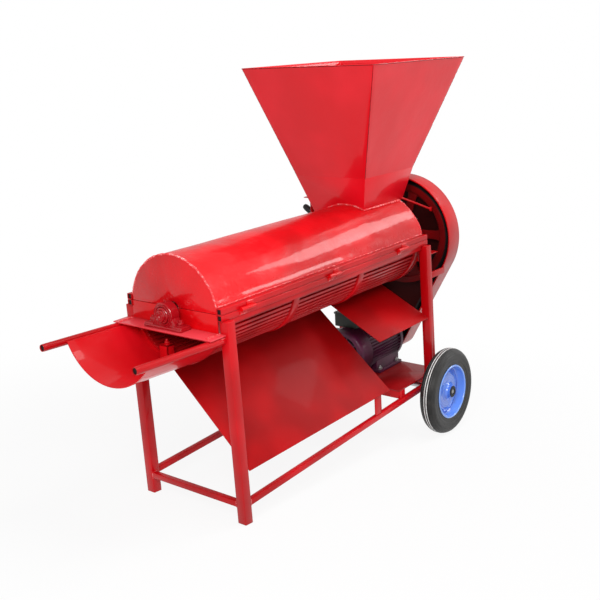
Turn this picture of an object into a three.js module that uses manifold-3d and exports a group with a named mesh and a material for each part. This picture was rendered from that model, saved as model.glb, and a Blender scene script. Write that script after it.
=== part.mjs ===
// almond shelling machine with an inclined drum, feed hopper, belt drive and transport wheels
import * as THREE from 'three';
import { mergeVertices } from 'three/addons/utils/BufferGeometryUtils.js';
import Module from 'manifold-3d';

const manifold_kit = await Module();
manifold_kit.setup();

// general fits, in millimetres
const gap = 0.3;
const running_gap = 1.0;
const sheet = 3.0;
const merge_step = 0.0005;

// frame of square tube; the drum axis is the x axis of the drum frame
const leg_side = 38.0;
const rail_side = 22.0;
const tube_wall = 2.0;
const frame_width = 505.0;
const frame_length = 1339.0;
const foot_drop = 760.0;
const rail_over_axle = 43.0;
const rear_leg_tail = 24.0;
const frame_lean = THREE.MathUtils.degToRad(1.85);
const drum_pitch = THREE.MathUtils.degToRad(4.76);

// drum cover, its edge tubes and the top rails under them
const cover_side_room = 39.8;
const cover_drop = 5.0;
const top_rail_low = -5.0;
const tube_overhang = 6.0;
const cover_tube_seam = 1.0;
const notch_radius = 27.0;
const notch_rise = 12.0;

// grate under the rotor
const grate_side_room = 22.7;
const grate_bar_depth = 10.0;
const grate_bar_width = 12.0;
const grate_bar_count = 27;
const hoop_width = 34.0;
const hoop_depth = 6.0;
const hoop_count = 4;
const grate_flange_height = 18.0;
const grate_flange_reach = 33.0;

// rotor and its bearings
const shaft_radius = 20.0;
const shaft_nose = 70.0;
const rotor_tube_radius = 60.0;
const rotor_end_room = 26.0;
const beater_room = 14.0;
const beater_thick = 12.0;
const beater_wide = 32.0;
const beater_lead = 17.0;
const beater_rows = 4;
const beaters_per_section = 3;
const section_names = ['front', 'middle', 'rear'];
const bearing_plate_depth = 76.0;
const bearing_plate_inset = 10.5;
const bearing_plate_thick = 5.0;
const bearing_plate_flange = 34.0;
const block_height = 49.2;
const block_length = 184.0;
const block_width = 54.0;
const block_foot = 18.0;
const block_head_radius = 45.0;
const block_head_width = 40.0;
const block_bolt_pitch = 137.0;
const insert_radius = 37.0;
const insert_width = 44.0;
const collar_width = 54.0;
const collar_radius = 29.0;
const bolt_radius = 8.0;
const bolt_head_radius = 12.0;
const bolt_head_height = 10.0;

// pull handles and outlet trough at the front
const handle_radius = 13.5;
const handle_wall = 2.5;
const handle_inset = 24.5;
const handle_reach = 400.0;
const front_tilt = THREE.MathUtils.degToRad(2.2);
const trough_width_share = 0.8692;
const trough_centre = 50.0;
const trough_side_room = 22.0;
const trough_reach = 312.0;
const trough_lip = 8.0;

// hopper, throat and sliding gate
const hopper_centre = 27.0;
const mouth_front_setback = 493.0;
const mouth_rear_overrun = 230.0;
const mouth_half = 337.5;
const mouth_height_rise = 599.3;
const seam_front_setback = 318.0;
const seam_rear_overrun = 64.0;
const seam_half = 183.5;
const seam_shift = 24.5;
const seam_height_rise = 122.3;
const base_front_setback = 277.0;
const base_rear_overrun = 26.0;
const base_half = 136.5;
const base_shift = 18.5;
const base_height_dip = 29.7;
const throat_foot = 120.0;
const gate_height_rise = 14.3;
const gate_thick = 4.0;
const gate_side_room = 2.0;
const gate_tail = 34.0;
const gate_lip = 93.0;
const knob_radius = 14.5;
const knob_length = 56.0;
const knob_tilt_degrees = 35;

// collecting chutes
const chute_rise = 468.025;
const chute_overhang = 4.5;
const chute_edge_drop = 562.0;
const chute_top_inset = 24.5;
const chute_front = 58.0;
const chute_rear_low_setback = 372.0;
const chute_rear_high_setback = 414.0;
const back_chute_rise = 138.84;
const back_chute_inset = 2.5;
const back_chute_below = 137.9;
const back_chute_front_setback = 425.0;
const back_chute_rear_setback = 30.0;
const strap_width = 45.0;
const strap_thick = 6.0;

// belt drive
const pulley_x_overrun = 177.0;
const pulley_guard_room = 34.0;
const pulley_width = 52.0;
const groove_pitch = 20.0;
const groove_half_top = 8.5;
const groove_half_root = 4.6;
const groove_depth = 15.0;
const pulley_rim_depth = 27.0;
const pulley_web_half = 8.0;
const pulley_hub_radius = 44.0;
const pulley_spokes = 5;
const spoke_half = 22.0;
const motor_y = 60.0;
const motor_lift = 189.0;
const small_pulley_radius = 55.0;
const belt_height = 10.0;
const belt_half_top = 7.9;
const belt_half_root = 5.6;
const guard_overreach = 21.5;
const guard_end_radius = 85.0;
const guard_front_overrun = 129.0;
const guard_rear_overrun = 223.0;

// motor
const motor_axis_height = 112.0;
const motor_radius = 98.0;
const motor_fin = 12.0;
const motor_fin_count = 36;
const motor_face_overrun = 93.0;
const motor_body_length = 232.0;
const motor_shield = 44.0;
const motor_shield_radius = 110.5;
const motor_cowl = 84.0;
const motor_cowl_radius = 110.0;
const motor_shaft_radius = 14.0;
const motor_foot_width = 45.0;
const motor_foot_thick = 14.0;
const motor_foot_pitch = 140.0;
const motor_foot_setback = 70.0;
const motor_foot_span = 226.0;
const box_length = 122.0;
const box_width = 118.0;
const box_height = 66.0;
const box_lid = 9.0;
const base_plate_front_setback = 279.0;
const base_plate_rear_overrun = 57.0;
const base_plate_thick = 5.0;
const base_bar_width = 38.0;

// wheels on a through axle
const wheel_width = 73.0;
const wheel_side_room = 26.5;
const axle_x_setback = 20.0;
const axle_radius = 12.5;
const wheel_radius = 193.553;
const rim_radius = 118.0;
const rim_wall = 4.0;
const rim_inset = 9.0;
const hub_radius = 29.0;

// hinges between cover and top rail, and the rod that props the hopper base
const hinge_radius = 8.0;
const hinge_length = 36.0;
const hinge_pin_radius = 4.0;
const hinge_place_shares = [0.064227, 0.446602, 0.817028];
const hinge_leaf = 3.0;
const hinge_leaf_height = 18.0;
const hinge_leaf_grip = 0.5;
const latch_radius = 4.5;

// smaller sizes and shares
const tube_inset = 1.9;
const guard_tab = 10.0;
const plate_flange_room = 29.5;
const notch_steps = 10;
const cover_cutter_steps = 80;
const gate_room = 0.4;
const gate_lip_width = 28.0;
const gate_lip_setback = 44.0;
const knob_radius_shares = [0, 0.7, 0.7, 0.88, 1, 0.99, 0.93, 0.76, 0.45, 0];
const knob_length_shares = [-0.25, -0.25, 0.06, 0.12, 0.3, 0.62, 0.8, 0.93, 0.99, 1];
const latch_x0_overrun = 7.0;
const latch_y0 = -80.0;
const latch_z0_dip = 3.7;
const latch_x1_overrun = 117.0;
const latch_inset = 24.7;
const latch_z1_dip = 74.7;
const latch_fork = 9.0;
const grate_x0 = 4.0;
const hoop_steps = 18;
const leg_room = 2.0;
const shaft_tail = 14.0;
const beater_root_share = 0.9;
const beater_twist = 0.35;
const block_shoulder = 62.0;
const shoulder_share = 0.9;
const washer_radius = 15.0;
const washer_height = 3.0;
const bolt_tail = 8.0;
const hex_sides = 6;
const round_tiny = 12;
const hanger_front = 120.0;
const hanger_rear_setback = 559.0;
const strap_x0_setback = 473.0;
const strap_inset = 3.0;
const back_chute_top_y = 17.0;
const belt_steps = 30;
const small_belt_steps = 12;
const belt_rise = 1.0;
const window_margin = 14.0;
const window_steps = 5;
const pulley_phase = 36.0;
const bracket_near_inset = 19.5;
const bracket_near_thick = 8.0;
const bracket_near_below = 19.8;
const bracket_near_above = 8.2;
const bracket_far_inset = 6.5;
const bracket_far_thick = 9.0;
const bracket_far_below = 1.3;
const bracket_far_above = 24.7;
const fin_low_share = 0.36;
const fin_high_share = 0.2;
const shield_step_share = 0.86;
const shield_nose_share = 0.45;
const cowl_face_share = 0.84;
const cowl_round_share = 0.3;
const motor_saddle_half = 96.0;
const saddle_share = 0.55;
const box_setback = -35.0;
const box_shift = 14.0;
const box_lip = 3.0;
const gland_radius = 11.0;
const gland_length = 24.0;
const base_inset = 8.0;
const axle_recess = 16.0;
const collar_outer = 18.0;
const collar_length = 16.0;
const tyre_bead = 8.0;
const tyre_lip = 6.0;
const tyre_shoulder = 26.0;
const tyre_groove = 5.0;
const web_place_share = 0.34;
const web_bulge_share = 0.6;
const web_bulge = 12.0;
const hub_start = -4.0;
const hub_inset = 5.0;
const wheel_steps = 32;

// sizes that follow the frame's width, its rear end and the top of the cover
const half_width = frame_width / 2;
const cover_radius = half_width - cover_side_room;
const cover_top = cover_radius - cover_drop;
const grate_radius = cover_radius - grate_side_room;
const beater_reach = grate_radius - grate_bar_depth - beater_room;
const bearing_plate_width = frame_width - 2 * bearing_plate_inset;
const plate_flange_half = half_width - leg_side - plate_flange_room;
const handle_offset = half_width - handle_inset;
const trough_half_width = handle_offset - trough_side_room;
const trough_radius = trough_half_width / trough_width_share;
const chute_edge_y = half_width + chute_overhang;
const chute_top_y = half_width - chute_top_inset;
const back_chute_edge_y = half_width - back_chute_inset;
const bracket_near_y0 = half_width - bracket_near_inset;
const bracket_near_y1 = bracket_near_y0 + bracket_near_thick;
const bracket_far_y0 = half_width - bracket_far_inset;
const bracket_far_y1 = bracket_far_y0 + bracket_far_thick;
const guard_radius = half_width + guard_overreach;
const pulley_radius = guard_radius - pulley_guard_room;
const guard_near_z = Math.sqrt(guard_radius * guard_radius - bracket_near_y0 * bracket_near_y0);
const guard_far_z = Math.sqrt(guard_radius * guard_radius - bracket_far_y0 * bracket_far_y0);
const bracket_near_low = guard_near_z + bracket_near_below;
const bracket_near_high = guard_near_z - bracket_near_above;
const bracket_far_low = guard_far_z + bracket_far_below;
const bracket_far_high = guard_far_z - bracket_far_above;
const chute_slope = chute_rise / (chute_top_y + chute_edge_y);
const back_chute_slope = back_chute_rise / (back_chute_top_y + back_chute_edge_y);
const back_chute_drop = grate_radius + hoop_depth + back_chute_below;
const latch_y1 = latch_inset - cover_radius;
const mouth_front = frame_length - mouth_front_setback;
const mouth_rear = frame_length + mouth_rear_overrun;
const seam_front = frame_length - seam_front_setback;
const seam_rear = frame_length + seam_rear_overrun;
const base_front = frame_length - base_front_setback;
const base_rear = frame_length + base_rear_overrun;
const chute_rear_low = frame_length - chute_rear_low_setback;
const chute_rear_high = frame_length - chute_rear_high_setback;
const back_chute_front = frame_length - back_chute_front_setback;
const back_chute_rear = frame_length - back_chute_rear_setback;
const pulley_x = frame_length + pulley_x_overrun;
const guard_front = frame_length + guard_front_overrun;
const guard_rear = frame_length + guard_rear_overrun;
const motor_face = frame_length + motor_face_overrun;
const base_plate_front = frame_length - base_plate_front_setback;
const base_plate_rear = frame_length + base_plate_rear_overrun;
const axle_x = frame_length - axle_x_setback;
const latch_x0 = frame_length + latch_x0_overrun;
const latch_x1 = frame_length + latch_x1_overrun;
const hanger_rear = frame_length - hanger_rear_setback;
const strap_x0 = frame_length - strap_x0_setback;
const mouth_height = cover_top + mouth_height_rise;
const seam_height = cover_top + seam_height_rise;
const base_height = cover_top - base_height_dip;
const gate_height = cover_top + gate_height_rise;
const latch_z0 = cover_top - latch_z0_dip;
const latch_z1 = cover_top - latch_z1_dip;
const wheel_outer_y = frame_width / 2 + wheel_side_room + wheel_width;
const grate_x1 = frame_length - grate_x0;
const hinge_places = hinge_place_shares.map((share) => share * frame_length);

const round_fine = 40;
const round_mid = 28;
const round_small = 16;

const group = new THREE.Group();
group.name = 'almond_sheller';
const drum_frame = new THREE.Group();
drum_frame.name = 'drum_frame';
group.add(drum_frame);

const red = { color: 0xc3141c, roughness: 0.36, metalness: 0.1 };
const dark_red = { color: 0x9d1018, roughness: 0.42, metalness: 0.1 };
const steel = { color: 0x8d8f92, roughness: 0.4, metalness: 0.9 };
const black = { color: 0x17181a, roughness: 0.7, metalness: 0.0 };
const rubber = { color: 0x1b1b1c, roughness: 0.85, metalness: 0.0 };
const motor_paint = { color: 0x2b2430, roughness: 0.5, metalness: 0.3 };
const blue = { color: 0x1f4fd0, roughness: 0.35, metalness: 0.1 };

// geometry helpers
function clean(geometry) {
  const bare = geometry.clone();
  bare.deleteAttribute('normal');
  bare.deleteAttribute('uv');
  const merged = mergeVertices(bare, merge_step);
  const index = merged.index.array;
  const kept = [];
  for (let i = 0; i < index.length; i += 3) {
    const [a, b, c] = [index[i], index[i + 1], index[i + 2]];
    if (a !== b && b !== c && c !== a) kept.push(a, b, c);
  }
  merged.setIndex(kept);
  return merged;
}

function to_manifold(geometry) {
  const merged = clean(geometry);
  const mesh = new manifold_kit.Mesh({
    numProp: 3,
    vertProperties: Float32Array.from(merged.attributes.position.array),
    triVerts: Uint32Array.from(merged.index.array),
  });
  return new manifold_kit.Manifold(mesh);
}

function from_manifold(solid) {
  const mesh = solid.getMesh();
  const geometry = new THREE.BufferGeometry();
  geometry.setAttribute('position', new THREE.BufferAttribute(Float32Array.from(mesh.vertProperties), 3));
  geometry.setIndex(Array.from(mesh.triVerts));
  return geometry;
}

function join(...geometries) {
  return from_manifold(geometries.map(to_manifold).reduce((a, b) => a.add(b)));
}

function cut(geometry, ...tools) {
  return from_manifold(tools.map(to_manifold).reduce((a, b) => a.subtract(b), to_manifold(geometry)));
}

function box(x0, x1, y0, y1, z0, z1) {
  const geometry = new THREE.BoxGeometry(x1 - x0, y1 - y0, z1 - z0);
  return geometry.translate((x0 + x1) / 2, (y0 + y1) / 2, (z0 + z1) / 2);
}

function shape_of(points, holes = []) {
  const shape = new THREE.Shape(points.map(([u, v]) => new THREE.Vector2(u, v)));
  for (const hole of holes) shape.holes.push(new THREE.Path(hole.map(([u, v]) => new THREE.Vector2(u, v))));
  return shape;
}

function axis_frame(u, v, w) {
  return new THREE.Matrix4().makeBasis(u, v, w);
}
const unit_x = new THREE.Vector3(1, 0, 0);
const unit_y = new THREE.Vector3(0, 1, 0);
const unit_z = new THREE.Vector3(0, 0, 1);

// outline in y and z, pulled along x
function pull_x(points, x0, x1, holes) {
  const geometry = new THREE.ExtrudeGeometry(shape_of(points, holes), { depth: x1 - x0, bevelEnabled: false });
  return geometry.applyMatrix4(axis_frame(unit_y, unit_z, unit_x)).translate(x0, 0, 0);
}

// outline in x and z, pulled along y
function pull_y(points, y0, y1, holes) {
  const geometry = new THREE.ExtrudeGeometry(shape_of(points, holes), { depth: y1 - y0, bevelEnabled: false });
  return geometry.applyMatrix4(axis_frame(unit_x, unit_z, unit_y.clone().negate())).translate(0, y1, 0);
}

// outline in x and y, pulled along z
function pull_z(points, z0, z1, holes) {
  const geometry = new THREE.ExtrudeGeometry(shape_of(points, holes), { depth: z1 - z0, bevelEnabled: false });
  return geometry.translate(0, 0, z0);
}

// profile of radius and height turned about x or y
function turn_x(profile, steps) {
  const points = profile.map(([r, h]) => new THREE.Vector2(r, h));
  return new THREE.LatheGeometry(points, steps).rotateZ(-Math.PI / 2);
}
function turn_y(profile, steps) {
  return new THREE.LatheGeometry(profile.map(([r, h]) => new THREE.Vector2(r, h)), steps);
}

function rod_x(radius, x0, x1, y, z, steps = round_mid) {
  return turn_x([[0, x0], [radius, x0], [radius, x1], [0, x1]], steps).translate(0, y, z);
}
function rod_y(radius, y0, y1, x, z, steps = round_mid) {
  return turn_y([[0, y0], [radius, y0], [radius, y1], [0, y1]], steps).translate(x, 0, z);
}
function ring_x(inner, outer, x0, x1, y, z, steps = round_mid) {
  const profile = [[inner, x0], [outer, x0], [outer, x1], [inner, x1], [inner, x0]];
  return turn_x(profile, steps).translate(0, y, z);
}
function rod_z(radius, z0, z1, x, y, steps = round_small) {
  return turn_y([[0, z0], [radius, z0], [radius, z1], [0, z1]], steps).rotateX(Math.PI / 2).translate(x, y, 0);
}

function arc_points(radius, from, to, steps, cy = 0, cz = 0) {
  const points = [];
  for (let i = 0; i <= steps; i += 1) {
    const angle = from + ((to - from) * i) / steps;
    points.push([cy + radius * Math.cos(angle), cz + radius * Math.sin(angle)]);
  }
  return points;
}

// solid with eight corners; lower four then upper four, both counter-clockwise from above
function hexa(corners) {
  const faces = [[0, 3, 2, 1], [4, 5, 6, 7], [0, 1, 5, 4], [1, 2, 6, 5], [2, 3, 7, 6], [3, 0, 4, 7]];
  const position = [];
  for (const [a, b, c, d] of faces) {
    for (const i of [a, b, c, a, c, d]) position.push(...corners[i]);
  }
  const geometry = new THREE.BufferGeometry();
  geometry.setAttribute('position', new THREE.BufferAttribute(new Float32Array(position), 3));
  return geometry;
}

function node(name, geometry, look, parent = drum_frame) {
  const body = clean(geometry).toNonIndexed();
  body.computeVertexNormals();
  const mesh = new THREE.Mesh(body, new THREE.MeshStandardMaterial(look));
  mesh.name = name;
  parent.add(mesh);
  return mesh;
}

// the lower frame leans a little against the drum axis
function lean(geometry) {
  return geometry.rotateY(-frame_lean);
}
function lean_point(x, z) {
  return [x * Math.cos(frame_lean) - z * Math.sin(frame_lean), x * Math.sin(frame_lean) + z * Math.cos(frame_lean)];
}
// height, in the lower frame, of the drum-frame level z at station x
function level_in_frame(x, z) {
  return (z - x * Math.sin(frame_lean)) / Math.cos(frame_lean);
}

const ground_slope = Math.tan(drum_pitch + frame_lean);
const wheel_tilt = drum_pitch + frame_lean;
const axle_drop = foot_drop + axle_x * ground_slope - wheel_radius / Math.cos(wheel_tilt);
const lower_rail_drop = axle_drop - rail_over_axle;
const motor_drop = lower_rail_drop - motor_lift;
const sides = [['near', -1], ['far', 1]];

// legs, feet cut level with the ground
const rear_leg_x = frame_length - leg_side;
const ground_at = (x) => -foot_drop - x * ground_slope;
for (const [side, s] of sides) {
  const ya = s < 0 ? -half_width : half_width - leg_side;
  const yb = ya + leg_side;
  for (const [end, x0] of [['front', 0], ['rear', rear_leg_x]]) {
    const x1 = x0 + leg_side;
    const top0 = level_in_frame(x0, top_rail_low - gap);
    const top1 = level_in_frame(x1, top_rail_low - gap);
    const foot = -axle_drop - rear_leg_tail;
    const low0 = end === 'front' ? ground_at(x0) : foot;
    const low1 = end === 'front' ? ground_at(x1) : foot;
    let leg = hexa([
      [x0, ya, low0], [x1, ya, low1], [x1, yb, low1], [x0, yb, low0],
      [x0, ya, top0], [x1, ya, top1], [x1, yb, top1], [x0, yb, top0],
    ]);
    if (end === 'rear') leg = cut(leg, rod_y(axle_radius + gap, ya - leg_side, yb + leg_side, axle_x, -axle_drop));
    node(`leg_${end}_${side}`, lean(leg), red);
  }
}

// lower rails and cross rails
const rail_top = -lower_rail_drop;
const rail_low = rail_top - rail_side;
for (const [side, s] of sides) {
  const y0 = s < 0 ? -half_width : half_width - rail_side;
  const rail = box(leg_side + gap, rear_leg_x - gap, y0, y0 + rail_side, rail_low, rail_top);
  node(`lower_rail_${side}`, lean(rail), red);
}
const cross_half = half_width - leg_side - gap;
node('lower_cross_front', lean(box(0, rail_side, -cross_half, cross_half, rail_low, rail_top)), red);
const rear_cross_x = frame_length - rail_side;
node('lower_cross_rear', lean(box(rear_cross_x, frame_length, -cross_half, cross_half, rail_low, rail_top)), red);

// top rails, open at both ends
const rail_y0 = cover_radius - tube_inset;
const rail_y1 = rail_y0 + rail_side;
const top_rail_high = top_rail_low + rail_side;
const cover_tube_low = top_rail_high + cover_tube_seam;
const cover_tube_high = cover_tube_low + rail_side;
function square_tube(y0, y1, z0, z1, x0, x1) {
  const outer = [[y0, z0], [y1, z0], [y1, z1], [y0, z1]];
  const w = tube_wall;
  const inner = [[y0 + w, z0 + w], [y0 + w, z1 - w], [y1 - w, z1 - w], [y1 - w, z0 + w]];
  return pull_x(outer, x0, x1, [inner]);
}
const tube_front = -tube_overhang;
const tube_rear = frame_length + tube_overhang;
const top_rails = {};
const cover_tubes = {};
for (const [side, s] of sides) {
  const [y0, y1] = s < 0 ? [-rail_y1, -rail_y0] : [rail_y0, rail_y1];
  top_rails[side] = square_tube(y0, y1, top_rail_low, top_rail_high, tube_front, tube_rear);
  cover_tubes[side] = square_tube(y0, y1, cover_tube_low, cover_tube_high, tube_front, tube_rear);
}

// hinges: lower barrels with pins on the near top rail, upper barrels on the near cover tube
const hinge_y = -rail_y1 - gap - hinge_radius;
const hinge_z = top_rail_high + cover_tube_seam / 2;
const hinge_leaf_y0 = -rail_y1 - hinge_leaf;
const hinge_leaf_y1 = -rail_y1 + hinge_leaf_grip;
const lower_hinges = [];
const upper_hinges = [];
for (const x of hinge_places) {
  const x1 = x + hinge_length;
  const x2 = x1 + running_gap;
  const x3 = x2 + hinge_length;
  lower_hinges.push(rod_x(hinge_radius, x, x1, hinge_y, hinge_z, round_small));
  lower_hinges.push(rod_x(hinge_pin_radius, x + hinge_length / 2, x3, hinge_y, hinge_z, round_small));
  lower_hinges.push(box(x, x1, hinge_leaf_y0, hinge_leaf_y1, hinge_z - hinge_leaf_height, hinge_z - running_gap));
  upper_hinges.push(ring_x(hinge_pin_radius + gap, hinge_radius, x2, x3, hinge_y, hinge_z, round_small));
  upper_hinges.push(box(x2, x3, hinge_leaf_y0, hinge_leaf_y1, hinge_z + running_gap, hinge_z + hinge_leaf_height));
}
node('top_rail_near', join(top_rails.near, ...lower_hinges), red);
node('top_rail_far', top_rails.far, red);

// station, in the drum frame, of a leg face at a given height
function face_x(x, z) {
  return lean_point(x, level_in_frame(x, z))[0];
}

// bearing plates carried on the legs at both ends
const plate_top = -block_height;
const plate_low = plate_top - bearing_plate_thick;
const plate_half = bearing_plate_width / 2;
const flange_low = plate_low - bearing_plate_flange;
function bearing_plate(x0, x1, flange_x0, flange_x1) {
  const flat = box(x0, x1, -plate_half, plate_half, plate_low, plate_top);
  const flange = box(flange_x0, flange_x1, -plate_flange_half, plate_flange_half, flange_low, plate_top);
  return join(flat, flange);
}
const front_plate_x1 = face_x(0, plate_top) - gap;
const front_plate_x0 = front_plate_x1 - bearing_plate_depth;
const rear_plate_x0 = face_x(frame_length, flange_low) + gap;
const rear_plate_x1 = rear_plate_x0 + bearing_plate_depth;
const t5 = bearing_plate_thick;
const front_plate = bearing_plate(front_plate_x0, front_plate_x1, front_plate_x1 - t5, front_plate_x1);
const rear_plate = bearing_plate(rear_plate_x0, rear_plate_x1, rear_plate_x0, rear_plate_x0 + t5);
node('bearing_plate_front', front_plate, red);
node('bearing_plate_rear', rear_plate, red);

// end plates below the cover, each with a notch that lets the shaft drop in
const end_half = rail_y0 - gap;
const lower_plate_top = cover_tube_low - gap - cover_tube_seam;
const notch = [
  [notch_radius, lower_plate_top], ...arc_points(notch_radius, 0, -Math.PI, notch_steps),
  [-notch_radius, lower_plate_top],
];
const end_front_x1 = -gap;
const end_front_x0 = end_front_x1 - sheet;
const end_low = plate_top + gap;
node('end_plate_front', pull_x([
  ...notch, [-end_half, lower_plate_top], [-end_half, end_low], [end_half, end_low], [end_half, lower_plate_top],
], end_front_x0, end_front_x1), red);
const end_rear_x0 = frame_length + gap;
const end_rear_x1 = end_rear_x0 + sheet;
const grate_outer = grate_radius + hoop_depth;
node('end_plate_rear', pull_x([
  ...notch, [-end_half, lower_plate_top], [-end_half, 0],
  ...arc_points(grate_outer, Math.PI, 2 * Math.PI, round_mid), [end_half, 0], [end_half, lower_plate_top],
], end_rear_x0, end_rear_x1), red);

// half-round cover: shell with the opening under the throat, end plates with arches for the shaft
const cover_edge = Math.asin((cover_tube_low + gap + cover_drop) / cover_radius);
const shell_outline = [
  ...arc_points(cover_radius, cover_edge, Math.PI - cover_edge, round_fine, 0, -cover_drop),
  ...arc_points(cover_radius - sheet, Math.PI - cover_edge, cover_edge, round_fine, 0, -cover_drop),
];
function frustum(front0, rear0, half0, mid0, z0, front1, rear1, half1, mid1, z1) {
  return hexa([
    [front0, mid0 - half0, z0], [rear0, mid0 - half0, z0], [rear0, mid0 + half0, z0], [front0, mid0 + half0, z0],
    [front1, mid1 - half1, z1], [rear1, mid1 - half1, z1], [rear1, mid1 + half1, z1], [front1, mid1 + half1, z1],
  ]);
}
function blend(a, b, share) {
  return a + (b - a) * share;
}
function throat_at(z) {
  const share = (z - base_height) / (seam_height - base_height);
  const front = blend(base_front, seam_front, share);
  const rear = blend(base_rear, seam_rear, share);
  return [front, rear, blend(base_half, seam_half, share), hopper_centre + blend(base_shift, seam_shift, share)];
}
function throat_body(inset, z0, z1) {
  const [f0, r0, h0, m0] = throat_at(z0);
  const [f1, r1, h1, m1] = throat_at(z1);
  return frustum(f0 + inset, r0 - inset, h0 - inset, m0, z0, f1 + inset, r1 - inset, h1 - inset, m1, z1);
}
const throat_inside = throat_body(sheet, throat_foot - sheet, seam_height + sheet);
const shell = cut(pull_x(shell_outline, 0, frame_length), throat_inside);
node('drum_cover', join(shell, cover_tubes.near, cover_tubes.far, ...upper_hinges), red);
const arch = [
  [notch_radius, cover_tube_low], ...arc_points(notch_radius, 0, Math.PI, notch_steps, 0, notch_rise),
  [-notch_radius, cover_tube_low],
];
const arch_low = arch.filter(([, z]) => z >= cover_tube_low);
const end_turn = Math.acos(end_half / cover_radius);
const cover_end_outline = [
  [end_half, cover_tube_low + gap],
  ...arc_points(cover_radius, end_turn, Math.PI - end_turn, round_fine, 0, -cover_drop),
  [-end_half, cover_tube_low + gap],
  ...arch_low.reverse().map(([y, z]) => [y, Math.max(z, cover_tube_low + gap)]),
];
node('cover_end_front', pull_x(cover_end_outline, end_front_x0, end_front_x1), red);
// the rear one has a ledge that closes the throat where it overhangs the cover
const base_centre = hopper_centre + base_shift;
const ledge_from = Math.acos((base_centre + base_half) / cover_radius);
const ledge_to = Math.acos((base_centre - base_half) / cover_radius);
const ledge = pull_x([
  ...arc_points(cover_radius, ledge_from, ledge_to, round_small, 0, -cover_drop),
  ...arc_points(cover_radius - sheet, ledge_to, ledge_from, round_small, 0, -cover_drop),
], end_rear_x0, base_rear);
node('cover_end_rear', join(pull_x(cover_end_outline, end_rear_x0, end_rear_x1), ledge), red);

// throat trimmed to the cover, with a slot for the gate in its far wall
const cover_cutter = turn_x([
  [0, -frame_length], [cover_radius + gap, -frame_length],
  [cover_radius + gap, 2 * frame_length], [0, 2 * frame_length],
], cover_cutter_steps).rotateX(Math.PI / cover_cutter_steps).translate(0, 0, -cover_drop);
const gate_x0 = base_front;
const gate_x1 = base_rear - gate_side_room;
const [, , gate_half, gate_centre] = throat_at(gate_height);
const gate_y0 = gate_centre - gate_half + sheet + gate_side_room;
const gate_wall_y = gate_centre + gate_half;
const gate_y1 = gate_wall_y + gate_tail;
const slot = box(gate_x0 - gate_side_room, gate_x1 + gate_side_room, hopper_centre, gate_y1,
  gate_height - gate_room, gate_height + gate_thick + gate_room);
const throat_shell = cut(throat_body(0, throat_foot, seam_height), throat_inside, cover_cutter, slot);
node('hopper_throat', throat_shell, red);
const gate_blade = box(gate_x0, gate_x1, gate_y0, gate_y1, gate_height, gate_height + gate_thick);
const gate_lip_low = gate_height - gate_lip;
const lip_x0 = gate_x0 + gate_lip_setback;
const lip_x1 = lip_x0 + gate_lip_width;
const lip = box(lip_x0, lip_x1, gate_y1 - gate_thick, gate_y1, gate_lip_low, gate_height);
node('gate_slide', join(gate_blade, lip), dark_red);
const knob_x = (lip_x0 + lip_x1) / 2;
const knob_z = gate_lip_low + knob_radius;
const knob_y0 = gate_y1 + gap;
const knob_profile = knob_radius_shares.map((share, i) => [knob_radius * share, knob_length * knob_length_shares[i]]);
const knob_shape = turn_y(knob_profile, round_mid)
  .rotateX(THREE.MathUtils.degToRad(knob_tilt_degrees)).translate(knob_x, knob_y0, knob_z);
const knob_seat = box(lip_x0 - knob_length, lip_x1 + knob_length, knob_y0 - knob_length, knob_y0,
  gate_lip_low - knob_length, gate_height + knob_length);
node('gate_knob', cut(knob_shape, knob_seat), rubber);

// square hopper above the seam
const hopper_low = seam_height + gap;
const seam_centre = hopper_centre + seam_shift;
const mouth_outer = [mouth_front, mouth_rear, mouth_half, hopper_centre, mouth_height];
const hopper_solid = frustum(seam_front, seam_rear, seam_half, seam_centre, hopper_low, ...mouth_outer);
const hopper_slope = (mouth_half - seam_half) / (mouth_height - hopper_low);
const mouth_spread = sheet * hopper_slope;
const hopper_hollow = frustum(
  seam_front + sheet + mouth_spread, seam_rear - sheet - mouth_spread, seam_half - sheet - mouth_spread,
  seam_centre, hopper_low - sheet,
  mouth_front + sheet - mouth_spread, mouth_rear - sheet + mouth_spread, mouth_half - sheet + mouth_spread,
  hopper_centre, mouth_height + sheet,
);
node('hopper', cut(hopper_solid, hopper_hollow), red);

// rod from the foot of the throat towards the pulley, with a forked tip
const rod_from = new THREE.Vector3(latch_x0, latch_y0, latch_z0);
const rod_to = new THREE.Vector3(latch_x1, latch_y1, latch_z1);
const rod_way = rod_to.clone().sub(rod_from);
const rod_turn = new THREE.Quaternion().setFromUnitVectors(unit_y, rod_way.clone().normalize());
const rod_body = turn_y([[0, 0], [latch_radius, 0], [latch_radius, rod_way.length()], [0, rod_way.length()]],
  round_tiny).applyQuaternion(rod_turn).translate(rod_from.x, rod_from.y, rod_from.z);
const fork = box(rod_to.x - latch_fork / 2, rod_to.x + latch_fork / 2, rod_to.y - latch_radius,
  rod_to.y + latch_radius, rod_to.z - latch_fork, rod_to.z + latch_fork);
node('latch_rod', cut(join(rod_body, fork), throat_body(-gap, throat_foot, seam_height)), red);

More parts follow.
